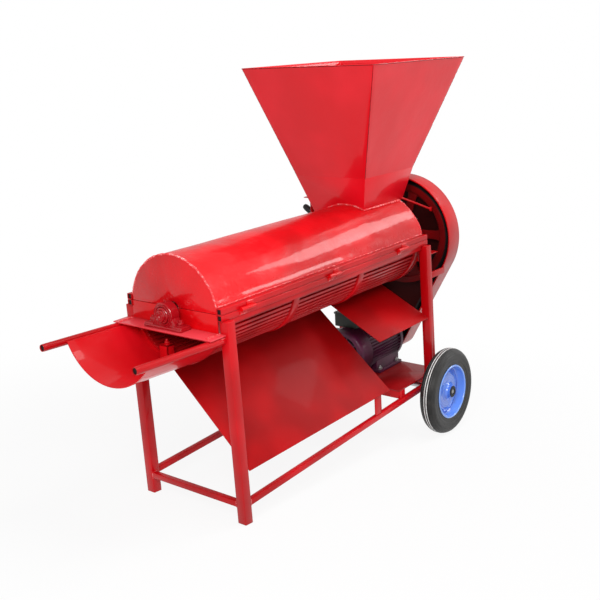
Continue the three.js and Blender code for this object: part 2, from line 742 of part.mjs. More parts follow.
// grate of long bars and hoops, with flanges under the top rails
const grate_parts = [];
const bar_start = Math.asin((grate_flange_height + grate_bar_width) / grate_radius) + grate_bar_width / grate_radius;
for (let i = 0; i < grate_bar_count; i += 1) {
  const angle = Math.PI + bar_start + ((Math.PI - 2 * bar_start) * i) / (grate_bar_count - 1);
  const half = grate_bar_width / 2;
  const bar = box(grate_x0, grate_x1, grate_radius - grate_bar_depth, grate_radius, -half, half);
  grate_parts.push(bar.rotateX(angle));
}
const hoop_top = top_rail_low - gap;
function hoop_arc(radius, way) {
  const start = Math.asin(-hoop_top / radius);
  const [from, to] = [Math.PI + start, 2 * Math.PI - start];
  return way > 0 ? arc_points(radius, from, to, hoop_steps) : arc_points(radius, to, from, hoop_steps);
}
for (let i = 0; i < hoop_count; i += 1) {
  const x0 = grate_x0 + ((grate_x1 - grate_x0 - hoop_width) * i) / (hoop_count - 1);
  grate_parts.push(pull_x([
    ...hoop_arc(grate_outer, 1), ...hoop_arc(grate_outer - 2 * hoop_depth, -1),
  ], x0, x0 + hoop_width));
}
const flange_x0 = leg_side + leg_room;
const flange_x1 = rear_leg_x - leg_room;
const flange_inner = grate_outer - 3 * hoop_depth;
for (const [, s] of sides) {
  const y = [s * flange_inner, s * (flange_inner + grate_flange_reach + 3 * hoop_depth)].sort((a, b) => a - b);
  grate_parts.push(box(flange_x0, flange_x1, y[0], y[1], hoop_top - grate_flange_height, hoop_top));
}
node('grate', join(...grate_parts), red);

// shaft, rotor tube and beaters
const shaft_x1 = pulley_x + pulley_width / 2 + shaft_tail;
node('rotor_shaft', rod_x(shaft_radius, -shaft_nose, shaft_x1, 0, 0), steel);
const rotor_x0 = rotor_end_room;
const rotor_x1 = frame_length - rotor_end_room;
const section_length = (rotor_x1 - rotor_x0 - 4 * beater_lead) / section_names.length;
const beater_pitch = section_length / beaters_per_section;
const beater_slack = beater_pitch / beater_rows - beater_wide;
section_names.forEach((place, section) => {
  const start = rotor_x0 + beater_lead + section * section_length;
  const x0 = section === 0 ? rotor_x0 : start - beater_slack / 2 + gap / 2;
  const last = section === section_names.length - 1;
  const x1 = last ? rotor_x1 : start + section_length - beater_slack / 2 - gap / 2;
  const parts = [ring_x(shaft_radius + gap, rotor_tube_radius, x0, x1, 0, 0)];
  for (let row = 0; row < beater_rows; row += 1) {
    for (let i = 0; i < beaters_per_section; i += 1) {
      const beater_x = start + beater_pitch * (i + row / beater_rows);
      const turn = beater_twist * (section * beaters_per_section + i);
      const blade = box(beater_x, beater_x + beater_wide, rotor_tube_radius * beater_root_share,
        beater_reach, -beater_thick / 2, beater_thick / 2);
      parts.push(blade.rotateX((2 * Math.PI * row) / beater_rows + turn));
    }
  }
  node(`beater_rotor_${place}`, join(...parts), dark_red);
});

// pillow block bearings with inserts and collars
function pillow_block(x) {
  const foot = box(x - block_width / 2, x + block_width / 2, -block_length / 2, block_length / 2,
    plate_top + gap, plate_top + gap + block_foot);
  const head = rod_x(block_head_radius, x - block_head_width / 2, x + block_head_width / 2, 0, 0, round_fine);
  const web = pull_x([
    [-block_shoulder, plate_top + block_foot / 2], [block_shoulder, plate_top + block_foot / 2],
    [block_head_radius * shoulder_share, 0], [-block_head_radius * shoulder_share, 0],
  ], x - block_head_width / 2, x + block_head_width / 2);
  const insert = rod_x(insert_radius, x - insert_width / 2, x + insert_width / 2, 0, 0, round_fine);
  const parts = [foot, head, web, insert];
  for (const s of [-1, 1]) {
    const y = (s * block_bolt_pitch) / 2;
    const z0 = plate_top + gap + block_foot / 2;
    const z1 = plate_top + gap + block_foot;
    parts.push(rod_z(washer_radius, z0, z1 + washer_height, x, y, round_small));
    parts.push(rod_z(bolt_head_radius, z1, z1 + washer_height + bolt_head_height, x, y, hex_sides));
    parts.push(rod_z(bolt_radius, z1, z1 + washer_height + bolt_head_height + bolt_tail, x, y, round_tiny));
  }
  const bore = rod_x(collar_radius + gap, x - block_width, x + block_width, 0, 0, round_fine);
  const below = box(x - block_width, x + block_width, -block_length, block_length, -block_length, plate_top + gap);
  return cut(join(...parts), bore, below);
}
const block_places = [['front', (front_plate_x0 + front_plate_x1) / 2], ['rear', (rear_plate_x0 + rear_plate_x1) / 2]];
for (const [end, x] of block_places) {
  node(`bearing_block_${end}`, pillow_block(x), dark_red);
  node(`shaft_collar_${end}`, ring_x(shaft_radius + gap, collar_radius, x - collar_width / 2,
    x + collar_width / 2, 0, 0), steel);
}

// pull handles and outlet trough share one small tilt at the front
const pivot = [front_plate_x0, plate_low - gap - handle_radius];
function tilt_front(geometry) {
  return geometry.translate(-pivot[0], 0, -pivot[1]).rotateY(front_tilt).translate(pivot[0], 0, pivot[1]);
}
const handle_x1 = face_x(0, pivot[1]) - running_gap;
for (const [side, s] of sides) {
  const tube = ring_x(handle_radius - handle_wall, handle_radius, -handle_reach, handle_x1,
    s * handle_offset, pivot[1], round_small);
  node(`handle_${side}`, tilt_front(tube), red);
}
const trough_angle = Math.acos(trough_half_width / trough_radius);
const lip_y = trough_half_width + trough_lip;
const trough_rim = trough_centre - trough_radius * Math.sin(trough_angle);
const inner_angle = Math.asin((trough_centre - trough_rim - sheet) / (trough_radius - sheet));
const trough_outline = [
  [-lip_y, trough_rim + sheet], [-lip_y, trough_rim],
  ...arc_points(trough_radius, Math.PI + trough_angle, 2 * Math.PI - trough_angle, round_mid, 0, trough_centre),
  [lip_y, trough_rim], [lip_y, trough_rim + sheet],
  ...arc_points(trough_radius - sheet, 2 * Math.PI - inner_angle, Math.PI + inner_angle, round_mid, 0, trough_centre),
];
const trough_x1 = grate_x0 - gap - running_gap;
const trough = pull_x(trough_outline, -trough_reach, trough_x1);
// cheeks at the rear of the trough close the corners beside the round end of the grate
const cheek_radius = trough_radius - sheet / 2;
const cheek_angle = Math.asin((trough_centre - flange_low + gap) / cheek_radius);
const cheek_sheet = pull_x(arc_points(cheek_radius, Math.PI + cheek_angle, 2 * Math.PI - cheek_angle, round_mid, 0,
  trough_centre), trough_x1 - sheet, trough_x1);
const cheek_hole = rod_x(grate_radius, trough_x1 - 2 * sheet, trough_x1 + sheet, 0, 0, round_fine);
node('outlet_trough', tilt_front(join(trough, cut(cheek_sheet, cheek_hole))), red);

// main side chute: one sloping sheet whose ends follow the legs
function chute_z(y) {
  return -chute_edge_drop + chute_slope * (y + chute_edge_y);
}
function sloped_sheet(corners, slope) {
  const length = Math.hypot(1, slope);
  const [dy, dz] = [(sheet * slope) / length, -sheet / length];
  return hexa([...corners.map(([x, y, z]) => [x, y + dy, z + dz]), ...corners]);
}
const chute_high_x0 = chute_front - (chute_z(chute_top_y) + chute_edge_drop) * Math.sin(frame_lean);
node('side_chute', sloped_sheet([
  [chute_front, -chute_edge_y, chute_z(-chute_edge_y)], [chute_rear_low, -chute_edge_y, chute_z(-chute_edge_y)],
  [chute_rear_high, chute_top_y, chute_z(chute_top_y)], [chute_high_x0, chute_top_y, chute_z(chute_top_y)],
], chute_slope), red);
const hanger_top = top_rail_low - 2 * gap - grate_flange_height;
for (const [name, x] of [['chute_hanger_front', hanger_front], ['chute_hanger_rear', hanger_rear]]) {
  node(name, box(x, x + strap_width, chute_top_y - strap_thick, chute_top_y, chute_z(chute_top_y) + gap, hanger_top),
    red);
}
const strap_y0 = -half_width + strap_inset;
const strap_x1 = strap_x0 + strap_width;
const strap_low = lean_point(strap_x1, rail_top)[1] + gap;
const strap_high = chute_z(strap_y0) - sheet * Math.hypot(1, chute_slope) - gap;
node('chute_support', box(strap_x0, strap_x1, strap_y0, strap_y0 + strap_thick, strap_low, strap_high), red);

// small chute over the motor, reaching up to the grate hoops
function back_chute_z(y) {
  return -back_chute_drop + back_chute_slope * (y + back_chute_edge_y);
}
const back_corner = (x, y) => [x, y, back_chute_z(y)];
node('back_chute', sloped_sheet([
  back_corner(back_chute_front, -back_chute_edge_y), back_corner(back_chute_rear, -back_chute_edge_y),
  back_corner(back_chute_rear, back_chute_top_y), back_corner(back_chute_front, back_chute_top_y),
], back_chute_slope), red);

// outline round both pulleys, as points with outward directions
function belt_loop(r1, r2, steps1, steps2) {
  const way = Math.atan2(-motor_drop, motor_y);
  const spread = Math.acos((r1 - r2) / Math.hypot(motor_drop, motor_y));
  const points = [];
  for (let i = 0; i <= steps1; i += 1) {
    const angle = way + spread + ((2 * Math.PI - 2 * spread) * i) / steps1;
    points.push([0, 0, r1, angle]);
  }
  for (let i = 0; i <= steps2; i += 1) {
    const angle = way - spread + (2 * spread * i) / steps2;
    points.push([motor_y, -motor_drop, r2, angle]);
  }
  return points.map(([cy, cz, r, a]) => ({
    y: cy + r * Math.cos(a), z: cz + r * Math.sin(a), ny: Math.cos(a), nz: Math.sin(a),
  }));
}
function loop_outline(r1, r2, steps1, steps2) {
  return belt_loop(r1, r2, steps1, steps2).map((p) => [p.y, p.z]);
}

// belt with a wedge section, riding in the grooves
function wedge_belt(x) {
  const loop = belt_loop(pulley_radius, small_pulley_radius, belt_steps, small_belt_steps);
  const rings = loop.map((p) => {
    const at = (dx, dr) => [x + dx, p.y + p.ny * dr, p.z + p.nz * dr];
    return [
      at(-belt_half_top, belt_rise), at(belt_half_top, belt_rise),
      at(belt_half_root, belt_rise - belt_height), at(-belt_half_root, belt_rise - belt_height),
    ];
  });
  const position = [];
  for (let i = 0; i < rings.length; i += 1) {
    const a = rings[i];
    const b = rings[(i + 1) % rings.length];
    for (let k = 0; k < 4; k += 1) {
      const n = (k + 1) % 4;
      for (const point of [a[k], b[k], b[n], a[k], b[n], a[n]]) position.push(...point);
    }
  }
  const geometry = new THREE.BufferGeometry();
  geometry.setAttribute('position', new THREE.BufferAttribute(new Float32Array(position), 3));
  return geometry;
}
const groove_places = [pulley_x - groove_pitch / 2, pulley_x + groove_pitch / 2];
node('belt_front', wedge_belt(groove_places[0]), black);
node('belt_rear', wedge_belt(groove_places[1]), black);

// pulley rim profile with two grooves, closed on its inner radius
function grooved_profile(radius, inner) {
  const profile = [[inner, pulley_x - pulley_width / 2], [radius, pulley_x - pulley_width / 2]];
  for (const x of groove_places) {
    profile.push([radius, x - groove_half_top], [radius - groove_depth, x - groove_half_root]);
    profile.push([radius - groove_depth, x + groove_half_root], [radius, x + groove_half_top]);
  }
  profile.push([radius, pulley_x + pulley_width / 2], [inner, pulley_x + pulley_width / 2]);
  profile.push([inner, pulley_x - pulley_width / 2]);
  return profile;
}
const rim_inner = pulley_radius - pulley_rim_depth;
const web_windows = [];
for (let i = 0; i < pulley_spokes; i += 1) {
  const from = (2 * Math.PI * i) / pulley_spokes;
  const to = (2 * Math.PI * (i + 1)) / pulley_spokes;
  const low = pulley_hub_radius + window_margin;
  const high = rim_inner - window_margin;
  const [low_turn, high_turn] = [Math.asin(spoke_half / low), Math.asin(spoke_half / high)];
  web_windows.push([
    ...arc_points(low, to - low_turn, from + low_turn, window_steps),
    ...arc_points(high, from + high_turn, to - high_turn, window_steps),
  ]);
}
const web = pull_x(arc_points(rim_inner + running_gap, 0, 2 * Math.PI * (1 - 1 / round_fine), round_fine - 1),
  pulley_x - pulley_web_half, pulley_x + pulley_web_half, web_windows);
const hub = rod_x(pulley_hub_radius, pulley_x - pulley_width / 2, pulley_x + pulley_width / 2, 0, 0);
const pulley_bore = rod_x(shaft_radius + gap, pulley_x - pulley_width, pulley_x + pulley_width, 0, 0);
const pulley_turn = THREE.MathUtils.degToRad(pulley_phase);
node('drum_pulley', cut(join(turn_x(grooved_profile(pulley_radius, rim_inner), round_fine), web, hub),
  pulley_bore).rotateX(pulley_turn), red);
const small_ring = turn_x(grooved_profile(small_pulley_radius, motor_shaft_radius + gap), round_mid);
node('motor_pulley', small_ring.translate(0, motor_y, -motor_drop), steel);

// open-fronted belt guard and its brackets to the rear legs
const guard_outer = loop_outline(guard_radius, guard_end_radius, round_fine, round_small);
const guard_inner = loop_outline(guard_radius - sheet, guard_end_radius - sheet, round_fine, round_small);
const guard_shell = cut(pull_x(guard_outer, guard_front, guard_rear),
  pull_x(guard_inner, guard_front - sheet, guard_rear - sheet));
const guard_brackets = [
  [-bracket_near_y1, -bracket_near_y0, -bracket_near_low, -bracket_near_high],
  [bracket_far_y0, bracket_far_y1, -bracket_far_low, -bracket_far_high],
].map(([y0, y1, z0, z1]) => box(face_x(frame_length, z0) + gap, guard_front + guard_tab, y0, y1, z0, z1));
node('belt_guard', join(guard_shell, ...guard_brackets), red);

// motor: finned body, shields, cowl, feet, terminal box, shaft
const fin_outline = [];
for (let i = 0; i < motor_fin_count; i += 1) {
  const step = (2 * Math.PI) / motor_fin_count;
  const low = motor_radius;
  const high = motor_radius + motor_fin;
  for (const [share, r] of [[-fin_low_share, low], [-fin_high_share, high], [fin_high_share, high], [fin_low_share, low]]) {
    const a = step * (i + share);
    fin_outline.push([motor_y + r * Math.cos(a), -motor_drop + r * Math.sin(a)]);
  }
}
const shield_x0 = motor_face - motor_shield;
const body_x1 = shield_x0 - gap;
const body_x0 = body_x1 - motor_body_length;
const motor_foot_low = -motor_drop - motor_axis_height;
const motor_foot_top = motor_foot_low + motor_foot_thick;
const foot_x1 = motor_face - motor_foot_setback + motor_foot_width / 2;
const foot_x0 = foot_x1 - motor_foot_pitch - motor_foot_width;
const foot_half = motor_foot_span / 2;
const foot_space = box(foot_x0 - gap, foot_x1 + gap, motor_y - foot_half, motor_y + foot_half,
  motor_foot_low - gap, motor_foot_top + gap);
node('motor_body', cut(pull_x(fin_outline, body_x0, body_x1), foot_space), motor_paint);
const shield = turn_x([
  [0, shield_x0], [motor_shield_radius, shield_x0], [motor_shield_radius, motor_face - motor_shield / 2],
  [motor_shield_radius * shield_step_share, motor_face - motor_shield / 4],
  [motor_shield_radius * shield_nose_share, motor_face], [0, motor_face],
], round_mid).translate(0, motor_y, -motor_drop);
node('motor_shield', shield, motor_paint);
const cowl_x1 = body_x0 - gap;
const cowl_x0 = cowl_x1 - motor_cowl;
node('motor_cowl', turn_x([
  [0, cowl_x0], [motor_cowl_radius * cowl_face_share, cowl_x0],
  [motor_cowl_radius, cowl_x0 + motor_cowl * cowl_round_share], [motor_cowl_radius, cowl_x1], [0, cowl_x1],
], round_mid).translate(0, motor_y, -motor_drop), motor_paint);
const feet_plate = box(foot_x0, foot_x1, motor_y - foot_half, motor_y + foot_half, motor_foot_low, motor_foot_top);
const saddle = box(foot_x0, foot_x1, motor_y - motor_saddle_half, motor_y + motor_saddle_half,
  motor_foot_top - gap, -motor_drop - motor_radius * saddle_share);
const saddle_void = rod_x(motor_radius + motor_fin + 2 * gap, foot_x0 - leg_side, foot_x1 + leg_side, motor_y, -motor_drop,
  round_fine);
const saddle_keep = box(foot_x0, foot_x1, motor_y - foot_half, motor_y + foot_half, motor_foot_low, motor_foot_top);
node('motor_feet', join(feet_plate, cut(saddle, cut(saddle_void, saddle_keep))), motor_paint);
const box_low = -motor_drop + motor_radius + motor_fin + gap;
const box_x0 = body_x0 + box_setback;
const box_y0 = motor_y - box_width / 2 + box_shift;
const gland_z = box_low + box_height / 2 - box_lid;
const gland = rod_y(gland_radius, box_y0 - gland_length, box_y0 + box_lip, box_x0 + box_length / 2, gland_z, round_small);
node('terminal_box', join(box(box_x0, box_x0 + box_length, box_y0, box_y0 + box_width, box_low,
  box_low + box_height - box_lid), gland), black);
node('terminal_lid', box(box_x0 - box_lip, box_x0 + box_length + box_lip, box_y0 - box_lip,
  box_y0 + box_width + box_lip, box_low + box_height - box_lid + gap, box_low + box_height), motor_paint);
node('motor_shaft', rod_x(motor_shaft_radius, motor_face + gap, pulley_x + pulley_width / 2 + shaft_tail / 2,
  motor_y, -motor_drop, round_mid), steel);

// motor plate on two cross bars that rest on the lower rails
const base_top = motor_foot_low - gap;
const base_low = base_top - base_plate_thick;
const deck_half = half_width - base_inset;
const base_narrow = half_width - leg_side - leg_room;
const base_step = face_x(rear_leg_x, base_top) - leg_room;
node('motor_plate', pull_z([
  [base_plate_front, -deck_half], [base_step, -deck_half], [base_step, -base_narrow],
  [base_plate_rear, -base_narrow], [base_plate_rear, base_narrow], [base_step, base_narrow],
  [base_step, deck_half], [base_plate_front, deck_half],
], base_low, base_top), red);
for (const [end, x0] of [['front', base_plate_front + base_inset], ['rear', base_step - base_inset - base_bar_width]]) {
  const x1 = x0 + base_bar_width;
  const [low0, low1] = [x0, x1].map((x) => rail_top / Math.cos(frame_lean) + x * Math.tan(frame_lean) + gap);
  const outline = [[x0, low0], [x1, low1], [x1, base_low - gap], [x0, base_low - gap]];
  node(`base_bar_${end}`, pull_y(outline, -deck_half, deck_half), red);
}

// wheels and axle in the leaning lower frame
const axle_half = wheel_outer_y - axle_recess;
const axle_collar = half_width + gap;
const axle_shape = turn_y([
  [0, -axle_half], [axle_radius, -axle_half], [axle_radius, -axle_collar - collar_length],
  [collar_outer, -axle_collar - collar_length], [collar_outer, -axle_collar], [axle_radius, -axle_collar],
  [axle_radius, axle_collar], [collar_outer, axle_collar], [collar_outer, axle_collar + collar_length],
  [axle_radius, axle_collar + collar_length], [axle_radius, axle_half], [0, axle_half],
], round_mid).translate(axle_x, 0, -axle_drop);
node('axle', lean(axle_shape), steel);
const wheel_inner_y = wheel_outer_y - wheel_width;
function wheel_profile(points) {
  return points.map(([r, h]) => [r, wheel_inner_y + h]);
}
const tyre_points = [
  [rim_radius + gap, tyre_bead], [rim_radius + tyre_lip, tyre_lip], [wheel_radius - tyre_shoulder, 0],
  [wheel_radius - tyre_groove, tyre_lip], [wheel_radius, tyre_shoulder / 2],
  [wheel_radius, wheel_width / 2 - tyre_groove], [wheel_radius - tyre_groove / 2, wheel_width / 2],
  [wheel_radius, wheel_width / 2 + tyre_groove], [wheel_radius, wheel_width - tyre_shoulder / 2],
  [wheel_radius - tyre_groove, wheel_width - tyre_lip], [wheel_radius - tyre_shoulder, wheel_width],
  [rim_radius + tyre_lip, wheel_width - tyre_lip], [rim_radius + gap, wheel_width - tyre_bead],
  [rim_radius + gap, tyre_bead],
];
const web_h = wheel_width * web_place_share;
const rim_points = [
  [axle_radius + gap, hub_start], [hub_radius, hub_start], [hub_radius, web_h],
  [rim_radius * web_bulge_share, web_h + web_bulge], [rim_radius - rim_wall, web_h],
  [rim_radius - rim_wall, rim_inset], [rim_radius, rim_inset], [rim_radius, wheel_width - rim_inset],
  [rim_radius - rim_wall, wheel_width - rim_inset], [rim_radius - rim_wall, web_h + rim_wall],
  [rim_radius * web_bulge_share, web_h + web_bulge + rim_wall], [hub_radius, web_h + rim_wall],
  [hub_radius, wheel_width - hub_inset], [axle_radius + gap, wheel_width - hub_inset],
  [axle_radius + gap, hub_start],
];
for (const [side, s] of sides) {
  const make = (points, steps) => {
    const wheel = turn_y(wheel_profile(points), steps);
    if (s < 0) wheel.rotateX(Math.PI);
    return lean(wheel.rotateY(wheel_tilt).translate(axle_x, 0, -axle_drop));
  };
  node(`tyre_${side}`, make(tyre_points, wheel_steps), rubber);
  node(`rim_${side}`, make(rim_points, wheel_steps), blue);
}

// stand the machine on its feet and wheels, centred over the ground
drum_frame.rotateY(-drum_pitch);
group.updateMatrixWorld(true);
const bounds = new THREE.Box3().setFromObject(group, true);
const centre = bounds.getCenter(new THREE.Vector3());
group.position.set(-centre.x, -centre.y, -bounds.min.z);
group.updateMatrixWorld(true);

export default group;
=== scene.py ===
# almond shelling machine: finished sheet, welds, castings, wheels and motor over the solid parts
import math
from functools import cached_property

import bmesh
import bpy
from mathutils import Matrix, Vector, noise


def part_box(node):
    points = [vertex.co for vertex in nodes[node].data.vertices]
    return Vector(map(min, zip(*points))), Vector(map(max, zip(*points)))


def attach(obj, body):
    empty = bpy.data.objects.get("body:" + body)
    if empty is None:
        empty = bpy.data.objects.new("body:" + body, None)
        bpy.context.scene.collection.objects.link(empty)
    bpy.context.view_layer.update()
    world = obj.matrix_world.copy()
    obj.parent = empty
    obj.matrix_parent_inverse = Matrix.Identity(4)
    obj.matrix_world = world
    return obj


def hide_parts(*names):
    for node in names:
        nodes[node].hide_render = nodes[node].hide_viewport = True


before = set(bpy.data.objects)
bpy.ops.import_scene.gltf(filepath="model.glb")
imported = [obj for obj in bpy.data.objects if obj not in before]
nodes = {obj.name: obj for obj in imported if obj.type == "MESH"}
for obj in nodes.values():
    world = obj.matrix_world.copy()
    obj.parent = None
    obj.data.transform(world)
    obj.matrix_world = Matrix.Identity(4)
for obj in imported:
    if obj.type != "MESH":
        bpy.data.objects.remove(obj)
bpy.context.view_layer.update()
scene = bpy.context.scene

# shapes are drawn in millimetres, x along the drum from its front end and z up from its axis;
# the drum is pitched to the ground, and the lower frame leans a little more
DRUM_PITCH = math.radians(4.76)
FRAME_LEAN = math.radians(1.85)
PULLEY_X = 1516.0
TO_METRES = 0.001


def middle_of(node):
    low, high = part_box(node)
    return (low + high) / 2


def pitched(angle):
    return Matrix.Rotation(-angle, 4, "Y")


drum_origin = middle_of("drum_pulley") - pitched(DRUM_PITCH) @ Vector((PULLEY_X, 0, 0)) * TO_METRES
SCALE = Matrix.Scale(TO_METRES, 4)
DRUM = Matrix.Translation(drum_origin) @ pitched(DRUM_PITCH) @ SCALE
LOWER = Matrix.Translation(drum_origin) @ pitched(DRUM_PITCH + FRAME_LEAN) @ SCALE
X_FROM_Z = Matrix(((0, 0, 1, 0), (1, 0, 0, 0), (0, 1, 0, 0), (0, 0, 0, 1)))
Y_FROM_Z = Matrix(((1, 0, 0, 0), (0, 0, 1, 0), (0, -1, 0, 0), (0, 0, 0, 1)))
X_AND_Y_SWAPPED = Matrix(((0, 1, 0, 0), (1, 0, 0, 0), (0, 0, 1, 0), (0, 0, 0, 1)))

# sizes shared with the solids
GAP = 0.3
SHEET = 3.0
LENGTH = 1339.0
COVER_RADIUS = 212.7
COVER_DROP = 5.0
RAIL_IN = 210.8
RAIL_OUT = 232.8
TUBE_LOW = 18.0
TUBE_HIGH = 40.0
RAIL_LOW = -5.0
RAIL_HIGH = 17.0
OVERHANG = 6.0
HINGE_X = (86.0, 598.0, 1094.0)
HINGE_Y = -241.1
HINGE_Z = 17.5
MOTOR_Y = 60.0
MOTOR_Z = -486.0
PLATE_TOP = -49.2
PULLEY_RADIUS = 240.0
SMALL_RADIUS = 55.0
PULLEY_FACE = PULLEY_X - 26.0
PULLEY_WIDTH = 52.0
GROOVES = (16.0, 36.0)

# the throat from foot to seam, and the mouth of the hopper: both ends in x, half the width,
# the heights, and the middle line in y
THROAT = {"x": ((1062.0, 1365.0), (1021.0, 1403.0)), "half": (136.5, 183.5),
          "z": (178.0, 330.0), "mid": (45.5, 51.5)}
MOUTH = {"x": (846.0, 1569.0), "half": 337.5, "z": 807.0, "mid": 27.0}
MOTOR = DRUM @ Matrix.Translation((0, MOTOR_Y, MOTOR_Z))


def along_x(x, y=0.0, z=0.0):
    """Place of a shape that is turned about x or pulled along it."""
    return Matrix.Translation((x, y, z)) @ X_FROM_Z


def between(start, end, share):
    return start + (end - start) * share


def spaced(start, end, steps):
    """Evenly spaced values from start to end, both among them."""
    return [start + (end - start) * i / steps for i in range(steps + 1)]


def both_sides(inner, outer):
    """The near and the far range in y of a pair of shapes."""
    return (-outer, -inner), (inner, outer)


def on_side(outline, side):
    """An outline drawn for the far side, or its mirror image for the near side."""
    return [(side * y, z) for y, z in outline][::side]


# shader maths as plain expressions
class Wire:
    """A socket that can be used in sums and products."""

    def __init__(self, finish, socket):
        self.finish = finish
        self.socket = socket

    def __add__(self, other):
        return self.finish.math("ADD", self, other)

    def __sub__(self, other):
        return self.finish.math("SUBTRACT", self, other)

    def __rsub__(self, other):
        return self.finish.math("SUBTRACT", other, self)

    def __mul__(self, other):
        return self.finish.math("MULTIPLY", self, other)


class Finish:
    """The nodes of one surface finish, or of the studio's world."""

    def __init__(self, name, world=False):
        self.owner = (bpy.data.worlds if world else bpy.data.materials).new(name)
        self.owner.use_nodes = True
        self.tree = self.owner.node_tree
        self.tree.nodes.clear()

    @cached_property
    def place(self):
        return self.node("ShaderNodeTexCoord", {}, out="Object")

    def node(self, kind, settings, *values, out=None, **named):
        made = self.tree.nodes.new(kind)
        for key, value in settings.items():
            setattr(made, key, value)
        for key, value in [*enumerate(values), *named.items()]:
            socket = made.inputs[key if isinstance(key, int) else key.replace("_", " ")]
            if isinstance(value, Wire):
                self.tree.links.new(value.socket, socket)
            elif value is not None:
                socket.default_value = value
        return Wire(self, made.outputs[out or 0]) if made.outputs else made

    def math(self, kind, *values):
        return self.node("ShaderNodeMath", {"operation": kind}, *values)

    def vector(self, kind, *values, out=None):
        return self.node("ShaderNodeVectorMath", {"operation": kind}, *values, out=out)

    def grain(self, scale, detail=3.0, rough=0.55, stretch=None):
        source = self.place
        if stretch:
            source = self.node("ShaderNodeMapping", {}, source, Scale=stretch)
        return self.node("ShaderNodeTexNoise", {}, Vector=source, Scale=scale, Detail=detail,
                         Roughness=rough)

    def step(self, value, start, end):
        return self.node("ShaderNodeMapRange", {"interpolation_type": "SMOOTHSTEP"}, Value=value,
                         From_Min=start, From_Max=end)

    def patches(self, start, end, scale, detail=3.0, rough=0.55, stretch=None):
        """Grain that goes from 0 to 1 between two of its values."""
        return self.step(self.grain(scale, detail, rough, stretch), start, end)

    def blend(self, mask, a, b):
        mix = self.tree.nodes.new("ShaderNodeMix")
        mix.data_type = "RGBA"
        sockets = {s.identifier: s for s in mix.inputs}
        for key, value in (("Factor_Float", mask), ("A_Color", a), ("B_Color", b)):
            if isinstance(value, Wire):
                self.tree.links.new(value.socket, sockets[key])
            else:
                sockets[key].default_value = value if key == "Factor_Float" else (*value, 1)
        return Wire(self, next(s for s in mix.outputs if s.identifier == "Result_Color"))

    def part_of(self, vector, axis):
        return self.node("ShaderNodeSeparateXYZ", {}, vector, out="XYZ"[axis])

    def facing_up(self):
        return self.part_of(self.node("ShaderNodeNewGeometry", {}, out="Normal"), 2)

    def from_axle(self, middle):
        """Distance from a wheel's axle, which lies along y."""
        away = self.vector("SUBTRACT", self.place, tuple(middle))
        flat = self.vector("MULTIPLY", away, (1.0, 0.0, 1.0))
        return self.vector("LENGTH", flat, out="Value")

    def bump(self, height, distance, strength, under=None):
        return self.node("ShaderNodeBump", {}, Strength=strength, Distance=distance, Height=height,
                         Normal=under)

    def close(self, color, rough, normal, metallic=0.0, coat=0.0, coat_rough=0.1, specular=0.5):
        shader = self.node("ShaderNodeBsdfPrincipled", {}, Base_Color=color, Roughness=rough,
                           Metallic=metallic, Normal=normal, Coat_Weight=coat,
                           Coat_Roughness=coat_rough, Specular_IOR_Level=specular)
        self.node("ShaderNodeOutputMaterial", {}, Surface=shader)
        return self.owner


def tinted(tone, share, lift=0.0):
    return tuple(share * c + lift for c in tone)


# red enamel over steel, with sags, orange peel, dust, rubbed spots and, on welds, pale pink spots
# as painted highlight
def red_enamel(name, tone, shade, dents=0.0, peel=1.0, cast=0.0, dust=0.25, rough=0.3, coat=0.45,
               painted_glints=0.0):
    f = Finish(name)
    color = f.blend(f.patches(0.35, 0.68, 3.2, 2.0), shade, tone)
    fine = f.grain(55.0, 4.0, 0.6)
    color = f.blend(f.step(fine, 0.58, 0.8) * 0.22, color, tinted(shade, 0.72, 0.02))
    low_down = 1 - f.step(f.part_of(f.place, 2), 0.02, 0.42)
    settled = f.step(f.facing_up(), 0.2, 0.95)
    film = f.patches(0.5, 0.8, 24.0, 6.0, 0.7) * (settled * 0.4 + low_down * 0.22) * dust
    color = f.blend(film, color, (0.34, 0.08, 0.07))
    rubbed = f.patches(0.69, 0.78, 1.0, 5.0, 0.75, stretch=(14.0, 60.0, 60.0)) * 0.35
    color = f.blend(rubbed, color, tinted(shade, 0.55, 0.012))
    # painted highlight: pale pink spots on the weld beads
    if painted_glints:
        color = f.blend(f.patches(0.5, 0.62, 95.0, 3.0, 0.5) * painted_glints, color, (0.9, 0.3, 0.3))
    gloss = fine * 0.1 + film * 0.5 + rubbed * 0.25 + settled * 0.16 + (rough - 0.05)
    normal = f.bump(f.grain(260.0, 2.0, 0.5), 0.00018 * peel, 0.55)
    if cast:
        normal = f.bump(f.grain(420.0, 5.0, 0.7), 0.0006 * cast, 0.7, normal)
    if dents:
        normal = f.bump(f.grain(4.6, 1.5, 0.4), 0.02 * dents, 0.7, normal)
        normal = f.bump(f.grain(15.0, 3.5, 0.55), 0.0036 * dents, 0.9, normal)
    return f.close(color, gloss, normal, coat=(1 - settled * 0.6) * coat, coat_rough=0.05,
                   specular=0.14)


# bare machined steel with turning marks and a little rust
def bare_steel(name, tone=(0.5, 0.5, 0.51), rough=0.32, rust=0.1):
    f = Finish(name)
    lines = f.grain(1.0, 4.0, 0.6, stretch=(900.0, 30.0, 30.0))
    spots = f.patches(0.62, 0.82, 38.0, 6.0, 0.7) * rust
    color = f.blend(spots, f.blend(f.step(lines, 0.3, 0.7), tinted(tone, 0.8), tone),
                    (0.2, 0.1, 0.05))
    return f.close(color, lines * 0.12 + spots * 0.4 + rough, f.bump(lines, 0.0001, 0.4),
                   metallic=1 - spots * 0.8)


